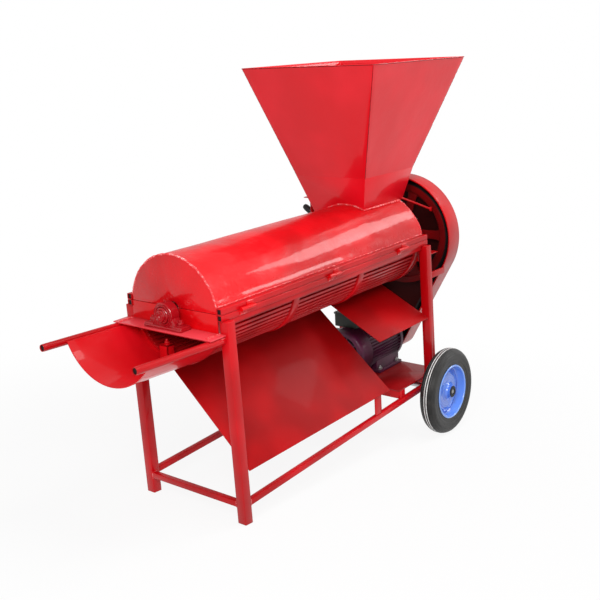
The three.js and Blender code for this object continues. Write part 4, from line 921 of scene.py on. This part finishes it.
# grate of long bars, hoops and side flanges
def make_grate():
    radius, depth, half, count = 190.0, 10.0, 6.0, 27
    front, rear, flange, hoop_width, hoops, top = 4.0, 1335.0, 18.0, 34.0, 4, -5.3
    start = math.asin((flange + 2 * half) / radius) + 2 * half / radius
    bar = Form().block(front, rear, radius - depth, radius, -half, half, 1.6, 3)
    repeated(bar, "grate_bars", grate_red, "frame", count, (math.pi - 2 * start) / (count - 1),
             math.pi + start, stands_for=("grate",))
    outer, inner = radius + 6.0, radius - 6.0
    turn_out, turn_in = math.asin(-top / outer), math.asin(-top / inner)
    outline = arc(outer, math.pi + turn_out, 2 * math.pi - turn_out, 64)
    outline += arc(inner, 2 * math.pi - turn_in, math.pi + turn_in, 64)
    hoop = Form().prism(outline, front, front + hoop_width, X_FROM_Z, edge=1.0)
    repeated(hoop, "grate_hoops", grate_red, "frame", hoops,
             shift=((rear - front - hoop_width) / (hoops - 1), 0, 0))
    flanges = Form()
    for y0, y1 in both_sides(178.0, 229.0):
        flanges.block(40.0, 1299.0, y0, y1, top - flange, top, 1.2)
    flanges.piece("grate_flanges", grate_red, "frame", slot="grate_red")


def drum_place(node):
    """Middle of a solid in the drum's frame."""
    return DRUM.inverted() @ middle_of(node)


# pillow blocks: cast housing, bearing insert with seals, collar, bolts and a grease nipple
def make_bearing(end):
    x = drum_place("shaft_collar_" + end).x
    plate = PLATE_TOP + GAP
    cast = Form()
    cast.block(x - 27.0, x + 27.0, -92.0, 92.0, plate, plate + 11.0, 4.0, 4)
    for y0, y1 in both_sides(48.0, 91.0):
        cast.block(x - 25.0, x + 25.0, y0, y1, plate + 6.0, plate + 17.0, 5.0, 4)
    cast.lathe([(37.2, 1.0), (38.6, 0.0), (43.2, 0.0), (45.0, 2.2), (45.0, 37.8), (43.2, 40.0),
                (38.6, 40.0), (37.2, 39.0)], 96, along_x(x - 20.0), closed=True)
    shoulder = [(62.0, plate + 9.0), (56.0, plate + 16.0), (50.0, -20.0), (43.6, -6.0),
                (40.0, -6.0), (34.0, -22.0), (20.0, -35.0), (10.0, plate + 9.0)]
    for s in (-1, 1):
        cast.prism(on_side(shoulder, s), 0.0, 36.0, along_x(x - 18.0), edge=2.0)
    cast.piece("bearing_housing_" + end, cast_red, "frame", stands_for=("bearing_block_" + end,))
    spot = along_x(x - 22.0)
    insert = [(31.0, 5.0), (31.0, 1.4), (32.4, 0.0), (35.6, 0.0), (37.0, 1.2), (37.0, 42.8),
              (35.6, 44.0), (32.4, 44.0), (31.0, 42.6), (31.0, 39.0)]
    Form().lathe(insert, 96, spot, closed=True).piece("bearing_insert_" + end, cast_red, "frame",
                                                      slot="cast_red")
    seal = Form()
    for h in (4.0, 38.8):
        seal.lathe([(29.5, h), (33.0, h), (33.0, h + 1.2), (29.5, h + 1.2)], 72, spot, closed=True)
    seal.piece("bearing_seals_" + end, shade_and_seal_dark, "frame", slot="belt_rubber")
    bolt = hex_bolt(Form(), (x, -68.5, plate + 17.0), (0, 0, 1), 12.0, 9.5, 8.0, 3.0)
    repeated(bolt, "bearing_bolts_" + end, cast_red, "frame", 2, shift=(0, 137.0, 0))
    nipple = [(0.0, 0.0), (4.6, 0.0), (4.6, 3.0), (2.4, 3.6), (2.4, 5.5), (3.4, 6.4), (3.0, 8.0),
              (0.0, 8.4)]
    Form().lathe(nipple, 24, Matrix.Translation((x, 0, 44.4))).piece(
        "grease_nipple_" + end, cast_red, "frame", slot="cast_red")
    collar = [(20.3, 0.8), (21.2, 0.0), (24.6, 0.0), (25.4, 2.4), (27.6, 2.6), (29.0, 4.2),
              (29.0, 49.8), (27.8, 54.0), (21.2, 54.0), (20.3, 53.2)]
    Form().lathe(collar, 72, along_x(x - 27.0), closed=True).piece(
        "bearing_collar_" + end, cast_red, "rotor", stands_for=("shaft_collar_" + end,))


# pull handles and trough hang from one tilted line at the front
TILT = math.radians(2.2)
FRONT_PIVOT = Vector((drum_place("shaft_collar_front").x - 38.0, 0, -68.0))
TILTED = Matrix.Rotation(TILT, 4, "Y")
FRONT = DRUM @ Matrix.Translation(FRONT_PIVOT) @ TILTED @ Matrix.Translation(-FRONT_PIVOT)


def make_handles():
    reach, radius, bore = 200.3, 13.25, 11.0
    for side in ("near", "far"):
        mid = drum_place("handle_" + side)
        where = Matrix.Translation(mid) @ TILTED @ X_FROM_Z
        wall = [(radius + 0.125 * noise.noise(Vector((h / 40, mid.y, 0))), h)
                for h in spaced(-reach, reach, 40)[1:-1]]
        profile = [(bore, -reach), (12.6, -reach), *wall, (12.6, reach), (bore, reach)]
        Form().lathe(profile, 64, where, closed=True).piece(
            "handle_tube_" + side, frame_red, "frame", stands_for=("handle_" + side,))
        # painted shade: a near-black disc a little way into one end of the handle's bore
        plug, end = bore + 0.2, 4.0 - reach
        disc = [(0.0, end), (plug, end), (plug, end + 3.0), (0.0, end + 3.0)]
        Form().lathe(disc, 48, where).piece("handle_bore_" + side, bore_shade_black, "frame",
                                            slot="frame_red")


def make_trough():
    radius, centre, half, sheet, lip = 237.0, 50.0, 206.0, 2.6, 8.0
    x0, x1, stations = -312.0, 2.7, 24
    turn = math.acos(half / radius)
    rim = centre - radius * math.sin(turn)
    inner_turn = math.asin((centre - rim - sheet) / (radius - sheet))
    outer = arc(radius, math.pi + turn, 2 * math.pi - turn, 90, (0, centre))
    inner = arc(radius - sheet, 2 * math.pi - inner_turn, math.pi + inner_turn, 90, (0, centre))
    profile = [(-half - lip, rim + sheet - 0.5), (-half - lip, rim + 0.5), *outer,
               (half + lip, rim + 0.5), (half + lip, rim + sheet - 0.5), *inner]
    rings = []
    for i, x in enumerate(spaced(x0, x1, stations)):
        ease = min(1.0, i / 2) * min(1.0, (stations - i) / 2)
        ring = []
        for y, z in profile:
            wave = ease * 1.6 * (0.5 + 0.5 * noise.noise(Vector((x / 120, y / 110, 5.0))))
            ring.append((x, y * (1 - wave / 400), z + wave))
        rings.append(ring)
    trough = Form().sweep(rings)
    # cheeks close the trough against the drum's end, between its own arc and the drum's
    cross_y, cross_z, top_z, drum_radius = 97.0, -163.4, -88.5, 190.0
    low_out = math.atan2(cross_z - centre, cross_y)
    high_out = math.asin((top_z - centre) / (radius - 1.5))
    low_in = math.atan2(cross_z, cross_y)
    high_in = math.asin(top_z / drum_radius)
    cheek = arc(radius - 1.5, low_out, high_out, 16, (0, centre))
    cheek += arc(drum_radius, high_in, low_in, 16)
    for s in (-1, 1):
        trough.prism(on_side(cheek, s), x1 - 2.8, x1, X_FROM_Z)
    trough.piece("trough_sheet", trough_red, "frame", FRONT, stands_for=("outlet_trough",))
    low, high = low_in - 0.06, high_in + 0.02
    seam = arc(drum_radius - 0.2, low, high, 16) + arc(drum_radius - 3.4, high, low, 16)
    strip = Form()
    for s in (-1, 1):
        strip.prism(on_side(seam, s), -6.0, 3.8, X_FROM_Z)
    strip.piece("trough_seal_strips", trough_red, "frame", slot="sheet_red")
    stop = Form()
    stop.block(-22.0, 12.0, 24.0, 30.0, -166.0, -121.0, 1.2)
    stop.block(-22.0, 12.0, 24.0, 64.0, -127.0, -121.0, 1.2)
    stop.block(-22.0, -16.0, 24.0, 64.0, -182.0, -121.0, 1.2)
    hex_bolt(stop, (-3.0, 44.0, -121.0), (0, 0, 1), 10.0, 7.0, 9.0, 2.4)
    stop.piece("trough_stop_bracket", trough_red, "frame", FRONT, slot="frame_red")
    hem = arc(radius - 1.6, math.pi + turn + 0.02, 2 * math.pi - turn - 0.02, 80, (0, centre))
    Form().wire([(x0 + 1.8, y, z) for y, z in hem], 1.7, 10).piece(
        "trough_front_hem", trough_red, "frame", FRONT, slot="sheet_red")


def grooves(radius, cut):
    """Both belt grooves of a pulley; each cut is a depth and a half width."""
    profile = []
    for x in GROOVES:
        profile += [(radius - deep, x - wide) for deep, wide in cut]
        profile += [(radius - deep, x + wide) for deep, wide in reversed(cut)]
    return profile


def make_shaft_and_pulley():
    shaft = [(0.0, 0.0), (3.0, 0.0), (4.5, 2.0), (5.0, 0.0), (18.6, 0.0), (20.0, 1.6),
             (20.0, 1617.4), (18.6, 1619.0), (5.0, 1619.0), (4.0, 1617.0), (0.0, 1616.0)]
    Form().lathe(shaft, 64, along_x(-63.0)).piece("drum_shaft", shaft_steel, "rotor",
                                                  stands_for=("rotor_shaft",))
    nose = [(0.0, 2.6), (3.4, 2.6), (5.6, 0.0), (10.6, 0.0), (11.4, 1.6), (14.0, 1.8), (14.8, 0.6),
            (18.2, 0.6), (20.0, 2.2), (20.0, 7.0), (0.0, 7.0)]
    Form().lathe(nose, 64, along_x(-70.0)).piece("shaft_nose", cast_red, "rotor", slot="cast_red")
    radius, width, where = PULLEY_RADIUS, PULLEY_WIDTH, along_x(PULLEY_FACE)
    cut = grooves(radius, [(0.8, 8.9), (1.4, 8.4), (14.4, 4.9), (15.0, 4.2)])
    rim = [(213.0, 1.5), (214.5, 0.0), (radius - 1.6, 0.0), (radius, 1.6), *cut,
           (radius, width - 1.6), (radius - 1.6, width), (214.5, width), (213.0, width - 1.5),
           (211.0, 34.5), (211.0, 17.5)]
    hub = [(20.3, 0.0), (42.5, 0.0), (44.0, 1.5), (44.0, width - 1.5), (42.5, width), (20.3, width)]
    pulley = Form().lathe(rim, 144, where, closed=True).lathe(hub, 72, where, closed=True)
    pulley.lathe([(43.0, 18.0), (58.0, 19.0), (58.0, 33.0), (43.0, 34.0)], 96, where, closed=True)
    pulley.lathe([(199.0, 19.0), (212.5, 17.5), (212.5, 34.5), (199.0, 33.0)], 144, where,
                 closed=True)
    pulley.piece("pulley_rim", shade_dark_red, "rotor", stands_for=("drum_pulley",))
    edge = [(54.0, 24.0), (80.0, 21.0), (130.0, 19.0), (180.0, 21.0), (203.0, 27.0)]
    outline = [(y, -z) for y, z in edge] + edge[::-1]
    spoke = Form().prism(outline, PULLEY_FACE + 19.0, PULLEY_FACE + 33.0, X_FROM_Z, 3.0, 3)
    repeated(spoke, "pulley_spokes", shade_dark_red, "rotor", 5, 2 * math.pi / 5, math.radians(36.0))


def loop_path(r1, r2, steps):
    """Points and outward directions of a line drawn tight round both pulleys."""
    way = math.atan2(MOTOR_Z, MOTOR_Y)
    spread = math.acos((r1 - r2) / math.hypot(MOTOR_Z, MOTOR_Y))
    turns = ((0, 0, r1, spaced(way + spread, way - spread + 2 * math.pi, steps)),
             (MOTOR_Y, MOTOR_Z, r2, spaced(way - spread, way + spread, 48)))
    return [(cy + r * math.cos(a), cz + r * math.sin(a), math.cos(a), math.sin(a))
            for cy, cz, r, angles in turns for a in angles]


def loop_rings(r1, r2, steps, section):
    """A section of x and outward distance, carried round both pulleys."""
    return [[(x, y + ny * out, z + nz * out) for x, out in section]
            for y, z, ny, nz in loop_path(r1, r2, steps)]


def loop_outline(r1, r2):
    return [(y, z) for y, z, _, _ in reversed(loop_path(r1, r2, 120))]


def make_belts():
    half = [(7.4, 1.0), (7.9, 0.4), (7.7, -0.9), (5.9, -8.2), (5.2, -9.0)]
    for name, groove in zip(("front", "rear"), GROOVES):
        x = PULLEY_FACE + groove
        section = [(x - 7.4, 1.0), *[(x + dx, out) for dx, out in half],
                   *[(x - dx, out) for dx, out in half[:0:-1]]]
        belt = Form().sweep(loop_rings(PULLEY_RADIUS, SMALL_RADIUS, 96, section), loop=True)
        belt.piece("v_belt_" + name, belt_black, "frame", stands_for=("belt_" + name,))
    r, w, edge = SMALL_RADIUS, PULLEY_WIDTH, 1.4
    small = [(14.3, 0.0), (r - edge, 0.0), (r, edge), *grooves(r, [(0.0, 8.5), (15.0, 4.6)]),
             (r, w - edge), (r - edge, w), (14.3, w)]
    Form().lathe(small, 96, along_x(PULLEY_FACE, MOTOR_Y, MOTOR_Z), closed=True).piece(
        "motor_pulley_turned", shaft_steel, "motor_drive", stands_for=("motor_pulley",))


def make_guard():
    front, rear, r1, r2 = 1468.0, 1562.0, 274.0, 85.0
    section = [(front + 1.0, 0.0), (rear - 1.6, 0.0), (rear - 0.4, -0.6), (rear, -1.8),
               (rear, -30.0), (rear - 2.6, -30.0), (rear - 2.6, -3.2), (front + 6.0, -2.6),
               (front + 6.0, -5.0), (front + 3.0, -6.6), (front + 0.4, -5.0), (front, -2.6)]
    shell = Form().sweep(loop_rings(r1, r2, 120, section), loop=True)
    for y0, y1, z0, z1 in ((-241.0, -233.0, -164.0, -136.0), (246.0, 255.0, -122.0, -96.0)):
        # the brackets reach forward to the legs, which lean away from the drum's frame
        leg_x = PULLEY_X - 172.4 - 0.0323 * (z0 + 160.0)
        shell.block(leg_x, front + 10.0, y0, y1, z0, z1, 1.4, 3)
    shell.prism(loop_outline(r1 - 28.0, r2 - 28.0), rear - 2.5, rear - 0.1, X_FROM_Z)
    shell.piece("guard_shell", guard_red, "frame", stands_for=("belt_guard",))
    # painted shade: a near-black sheet over the inside of the guard's back plate and wall
    shade_sheet = Form().prism(loop_outline(r1 - 3.4, r2 - 3.4), rear - 3.6, rear - 2.7, X_FROM_Z)
    section = [(rear - 3.0, -3.3), (front + 8.0, -3.0), (front + 8.0, -3.6), (rear - 3.0, -3.9)]
    shade_sheet.sweep(loop_rings(r1, r2, 120, section), loop=True)
    shade_sheet.piece("guard_lining", shade_and_seal_dark, "frame", slot="sheet_red")


def make_motor():
    where = along_x(0, MOTOR_Y, MOTOR_Z)
    core = [(0.0, 1155.7), (99.0, 1155.7), (99.0, 1387.7), (0.0, 1387.7)]
    Form().lathe(core, 96, where).piece("motor_core", motor_coat, "frame",
                                        stands_for=("motor_body",))
    fin = [(96.0, -2.6), (108.5, -1.1), (110.0, -0.5), (110.0, 0.5), (108.5, 1.1), (96.0, 2.6)]
    repeated(Form().prism(fin, 1157.0, 1386.5, X_FROM_Z, edge=0.5), "motor_fins", motor_coat,
             "frame", 44, 2 * math.pi / 44, 0.04, where=MOTOR)
    shield = [(0.0, 1388.0), (108.0, 1388.0), (110.5, 1390.0), (110.5, 1408.0), (108.0, 1411.0),
              (98.0, 1419.0), (82.0, 1424.0), (56.0, 1428.0), (50.0, 1431.0), (42.0, 1432.0),
              (15.0, 1432.0), (0.0, 1431.5)]
    Form().lathe(shield, 96, where).piece("motor_end_shield", motor_coat, "frame",
                                          stands_for=("motor_shield",))
    rib = [(48.0, 1424.0), (96.0, 1418.0), (104.0, 1408.0), (104.0, 1424.0), (92.0, 1428.0),
           (50.0, 1431.4)]
    repeated(Form().prism(rib, -3.0, 3.0, X_AND_Y_SWAPPED, edge=0.8), "shield_ribs", motor_coat,
             "frame", 8, math.pi / 4, 0.2, where=MOTOR)
    bolt = hex_bolt(Form(), (1410.0, 100.0, 0), (1, 0, 0), 6.0, 4.5, 0.0, 1.4)
    repeated(bolt, "shield_bolts", bolt_steel, "frame", 4, math.pi / 2, math.pi / 4, where=MOTOR)
    shell = [(108.4, 1155.4), (110.0, 1154.0), (110.0, 1098.0), (108.6, 1088.0), (104.0, 1079.0),
             (97.0, 1073.4), (90.0, 1071.6), (84.0, 1071.4), (84.0, 1073.0), (90.0, 1073.2),
             (96.0, 1075.0), (102.4, 1080.4), (106.6, 1089.0), (108.0, 1098.0), (108.0, 1155.4)]
    cowl = Form().lathe(shell, 96, where, closed=True)
    for r in (70.0, 56.0, 42.0, 28.0):
        cowl.lathe([(r - 3.6, 1071.6), (r + 3.6, 1071.6), (r + 3.6, 1073.4), (r - 3.6, 1073.4)],
                   72, where, closed=True)
    cowl.lathe([(0.0, 1071.8), (15.0, 1071.8), (17.0, 1073.4), (0.0, 1073.4)], 48, where)
    cowl.piece("fan_cowl", motor_coat, "frame", stands_for=("motor_cowl",))
    bar = Form().block(1072.4, 1074.6, 14.0, 92.0, -3.0, 3.0, 0.5)
    repeated(bar, "cowl_bars", motor_coat, "frame", 10, math.pi / 5, where=MOTOR)
    blades = 9
    fan = Form().lathe([(0.0, 1104.0), (30.0, 1100.0), (98.0, 1110.0), (98.0, 1114.0),
                        (0.0, 1114.0)], 64, where)
    for k in range(blades):
        turned = Matrix.Rotation(2 * math.pi * k / blades, 4, "X")
        fan.block(1085.0, 1107.0, 33.0, 95.0, -1.5, 1.5,
                  where=Matrix.Translation((0, MOTOR_Y, MOTOR_Z)) @ turned)
    fan.piece("cooling_fan", belt_black, "frame", slot="box_black")
    shaft = [(0.0, 1432.3), (14.0, 1432.3), (14.0, 1547.6), (12.6, 1549.0), (0.0, 1549.0)]
    Form().lathe(shaft, 48, where).piece("motor_shaft_turned", shaft_steel, "motor_drive",
                                         stands_for=("motor_shaft",))
    softened("terminal_box", "terminal_case", box_coat, "frame", 3.0, 4)
    softened("terminal_lid", "terminal_cover", box_coat, "frame", 2.2, 3)
    lid_mid = drum_place("terminal_lid")
    for name, y in (("near", -54.0), ("far", 54.0)):
        screw = Form().lathe([(0.0, 0.0), (5.0, 0.0), (5.0, 2.0), (3.8, 3.2), (0.0, 3.2)], 24,
                             Matrix.Translation(lid_mid + Vector((-56.0, y, 4.2))))
        repeated(screw, "lid_screws_" + name, bolt_steel, "frame", 2, shift=(112.0, 0, 0))
    for name, y in (("near", MOTOR_Y - 98.0), ("far", MOTOR_Y + 98.0)):
        bolt = hex_bolt(Form(), (1222.0, y, -584.0), (0, 0, 1), 10.0, 7.0, 5.0, 2.4)
        repeated(bolt, "motor_bolts_" + name, bolt_steel, "frame", 2, shift=(140.0, 0, 0))


# wheels: tyre with ribbed sidewalls, pressed rim with a rolled lip, hub and axle;
# profiles run from the tyre's inner side outwards
def make_wheels():
    inner_side, width, axle_end = 279.0, 73.0, 336.0
    wall = [(118.4, 8.6), (119.2, 7.2), (124.0, 6.0), (134.0, 4.0), (137.0, 4.3), (140.0, 2.6),
            (150.0, 1.2), (153.0, 1.6), (156.0, 0.7), (163.0, 0.0), (168.0, 0.6), (169.5, 1.9),
            (171.0, 1.5), (176.0, 3.4), (177.2, 4.9), (178.8, 4.9), (183.0, 8.2), (183.9, 9.9),
            (185.4, 10.4)]
    tread = [(188.0, 14.5), (188.2, 16.3), (189.8, 17.2), (191.5, 21.6), (190.9, 23.2),
             (192.2, 24.2), (193.2, 28.0), (191.6, 29.0), (191.6, 30.2), (193.4, 31.0),
             (193.5, 36.5)]
    tyre = wall + tread
    tyre += [(r, width - h) for r, h in reversed(tyre[:-1])]
    dish = [(12.8, 68.0), (27.4, 68.0), (29.0, 66.4), (30.4, 59.0), (34.0, 51.0), (41.0, 45.4),
            (50.0, 43.4), (60.0, 44.6), (70.8, 45.4), (78.0, 43.4), (92.0, 36.4), (102.0, 31.2),
            (108.0, 30.4), (112.0, 33.0), (113.6, 38.0), (113.8, 60.0), (113.0, 65.0),
            (113.2, 67.6), (114.6, 69.6), (117.4, 70.6), (120.2, 69.8), (121.6, 67.8),
            (120.6, 67.4), (118.0, 66.6), (117.9, 64.0)]
    back = [(117.9, 9.0), (118.0, 6.4), (120.4, 5.4), (120.6, 3.6), (118.4, 2.2), (115.0, 2.6),
            (113.4, 5.0), (113.6, 20.0), (110.0, 25.4), (102.0, 27.4), (78.0, 35.6), (70.8, 36.6),
            (58.0, 33.4), (36.0, 26.0), (29.0, 24.0), (29.0, -3.0), (27.6, -4.0), (12.8, -4.0)]
    washer = [(12.9, 68.1), (24.0, 68.1), (25.4, 69.4), (25.4, 70.4), (23.4, 71.8), (12.9, 71.8)]
    axle = LOWER.inverted() @ middle_of("axle")
    for side, s in (("near", -1), ("far", 1)):
        flip = Matrix.Rotation(math.pi if s < 0 else 0.0, 4, "X")
        where = Matrix.Translation(axle) @ flip @ Y_FROM_Z @ Matrix.Translation((0, 0, inner_side))
        wheel = "wheel_" + side
        ring_y = (LOWER @ where @ Vector((0, 0, 38.4))).y
        rubber = tyre_rubber("tyre rubber " + side, LOWER @ axle, ring_y, s)
        Form().lathe(tyre, 160, where, closed=True).piece("tyre_tread_" + side, rubber, wheel,
                                                          LOWER, ("tyre_" + side,))
        enamel = rim_enamel("rim blue " + side, LOWER @ axle)
        Form().lathe(dish + back, 128, where, closed=True).piece("rim_pressed_" + side, enamel,
                                                                 wheel, LOWER, ("rim_" + side,))
        Form().lathe(washer, 64, where, closed=True).piece("hub_washer_" + side, knob_black, wheel,
                                                           LOWER, slot="tyre")
        cap = hex_bolt(Form(), axle + Vector((0, s * (axle_end + 0.1), 0)), (0, s, 0), 11.6, 12.0,
                       1.6)
        cap.piece("axle_end_bolt_" + side, bolt_steel, "frame", LOWER, slot="steel")
    half = [(0.0, axle_end), (10.6, axle_end), (12.5, axle_end - 1.9), (12.5, 268.8),
            (17.0, 268.8), (18.0, 267.8), (18.0, 253.8), (17.0, 252.8), (12.5, 252.8)]
    profile = [(r, -h) for r, h in half] + half[::-1]
    Form().lathe(profile, 64, Matrix.Translation(axle) @ Y_FROM_Z).piece(
        "wheel_axle", shaft_steel, "frame", LOWER, ("axle",))


# weld beads where the tubes of the frame meet
def round_corners(*corners):
    """A closed line through four corners, in four steps to a side."""
    line = [tuple(between(p, q, i / 4) for p, q in zip(a, b))
            for a, b in zip(corners, corners[1:] + corners[:1]) for i in range(4)]
    return line + [corners[0]]


def make_frame_welds():
    low, high, cross_y = -697.0, -675.0, 213.6
    rails = [round_corners((x, y0, low), (x, y1, low), (x, y1, high), (x, y0, high))
             for y0, y1 in both_sides(230.5, 252.5) for x in (38.6, 1300.4)]
    weld("frame_rail_welds", rails, "frame", 1.8, 3.0, 0.3, 21.0, where=LOWER)
    cross = [round_corners((x0, y, low), (x1, y, low), (x1, y, high), (x0, y, high))
             for x0, x1 in ((0.0, 22.0), (1317.0, LENGTH)) for y in (-cross_y, cross_y)]
    weld("frame_cross_welds", cross, "frame", 1.8, 3.0, 0.3, 22.0, where=LOWER)
    x = drum_place("shaft_collar_front").x
    plate = []
    for s in (-1, 1):
        plate.append([(along, s * 214.0, PLATE_TOP + 0.6) for along in spaced(x - 30, x + 36, 16)])
        plate.append([(along, s * 215.0, -54.6) for along in spaced(x - 36, x - 28, 6)])
        for k, z in enumerate((-50.0, -53.0, -57.0, -61.0)):
            start = x - 34.0 + 5.0 * k
            plate.append([(along, s * (222.0 + 4.6 * k), z)
                          for along in spaced(start, start + 68.0, 14)])
    weld("bearing_plate_welds", plate, "frame", 3.6, 5.4, 0.45, 23.0)


make_grate()
make_bearing("front")
make_bearing("rear")
make_handles()
make_trough()
make_shaft_and_pulley()
make_belts()
make_guard()
make_motor()
make_wheels()
make_frame_welds()


# plain white floor, soft light and the camera
def straight_rays(f):
    """1 for a ray from the camera, and for one that a mirror or glass sends on."""
    camera, glossy, through = (f.node("ShaderNodeLightPath", {}, out="Is " + kind + " Ray")
                               for kind in ("Camera", "Glossy", "Transmission"))
    return camera + glossy + through


def floor_white():
    """White to the camera from 2.6 m out, and a little of the object's shadow close in."""
    f = Finish("studio white")
    away = f.step(f.vector("LENGTH", f.place, out="Value"), 1.0, 2.6)
    seen = f.node("ShaderNodeEmission", {}, (1, 1, 1, 1), 1.0)
    plain = f.node("ShaderNodeBsdfDiffuse", {}, (0.8, 0.8, 0.8, 1))
    white_share = straight_rays(f) * (away * 0.1 + 0.9)
    mixed = f.node("ShaderNodeMixShader", {}, white_share, plain, seen)
    f.node("ShaderNodeOutputMaterial", {}, Surface=mixed)
    return f.owner


def studio_world():
    f = Finish("studio", world=True)
    soft = f.node("ShaderNodeBackground", {}, (1, 1, 1, 1), 0.42)
    white = f.node("ShaderNodeBackground", {}, (1, 1, 1, 1), 1.0)
    mixed = f.node("ShaderNodeMixShader", {}, straight_rays(f), soft, white)
    f.node("ShaderNodeOutputWorld", {}, Surface=mixed)
    return f.owner


def make_floor():
    reach, below = 8, -0.001
    corners = [(x, y, below) for x, y in ((-reach, -reach), (reach, -reach), (reach, reach),
                                          (-reach, reach))]
    mesh = bpy.data.meshes.new("floor")
    mesh.from_pydata(corners, [], [(0, 1, 2, 3)])
    mesh.materials.append(floor_white())
    floor = bpy.data.objects.new("floor", mesh)
    scene.collection.objects.link(floor)


def soft_light(name, place, aim, size, power):
    light = bpy.data.lights.new(name, "AREA")
    light.shape = "RECTANGLE"
    light.size, light.size_y = size
    light.energy = power
    lamp = bpy.data.objects.new(name, light)
    lamp.location = place
    lamp.rotation_euler = (Vector(aim) - Vector(place)).to_track_quat("-Z", "Y").to_euler()
    scene.collection.objects.link(lamp)


make_floor()
scene.world = studio_world()
soft_light("key", (-3.3, -2.3, 2.6), (0.0, 0, 0.8), (1.7, 1.5), 120)
soft_light("top", (0.2, -1.2, 3.7), (0.2, 0, 0.9), (2.2, 0.9), 42)
soft_light("side", (2.9, -1.5, 2.9), (0.1, -0.1, 0.9), (1.5, 0.8), 30)
soft_light("low", (2.9, -2.9, 1.7), (0.0, -0.1, 0.9), (0.9, 0.35), 10)

# the camera was fitted to edges measured in the photograph
camera = bpy.data.cameras.new("camera")
camera.lens = 56.72
camera.sensor_width = 36.0
camera.shift_y = -0.10
viewer = bpy.data.objects.new("camera", camera)
viewer.location = (-2.8934, -2.3624, 1.468)
viewer.rotation_mode = "QUATERNION"
viewer.rotation_quaternion = (0.678763, 0.5897, -0.287154, -0.330269)
scene.collection.objects.link(viewer)
scene.camera = viewer
scene.view_settings.view_transform = "Standard"
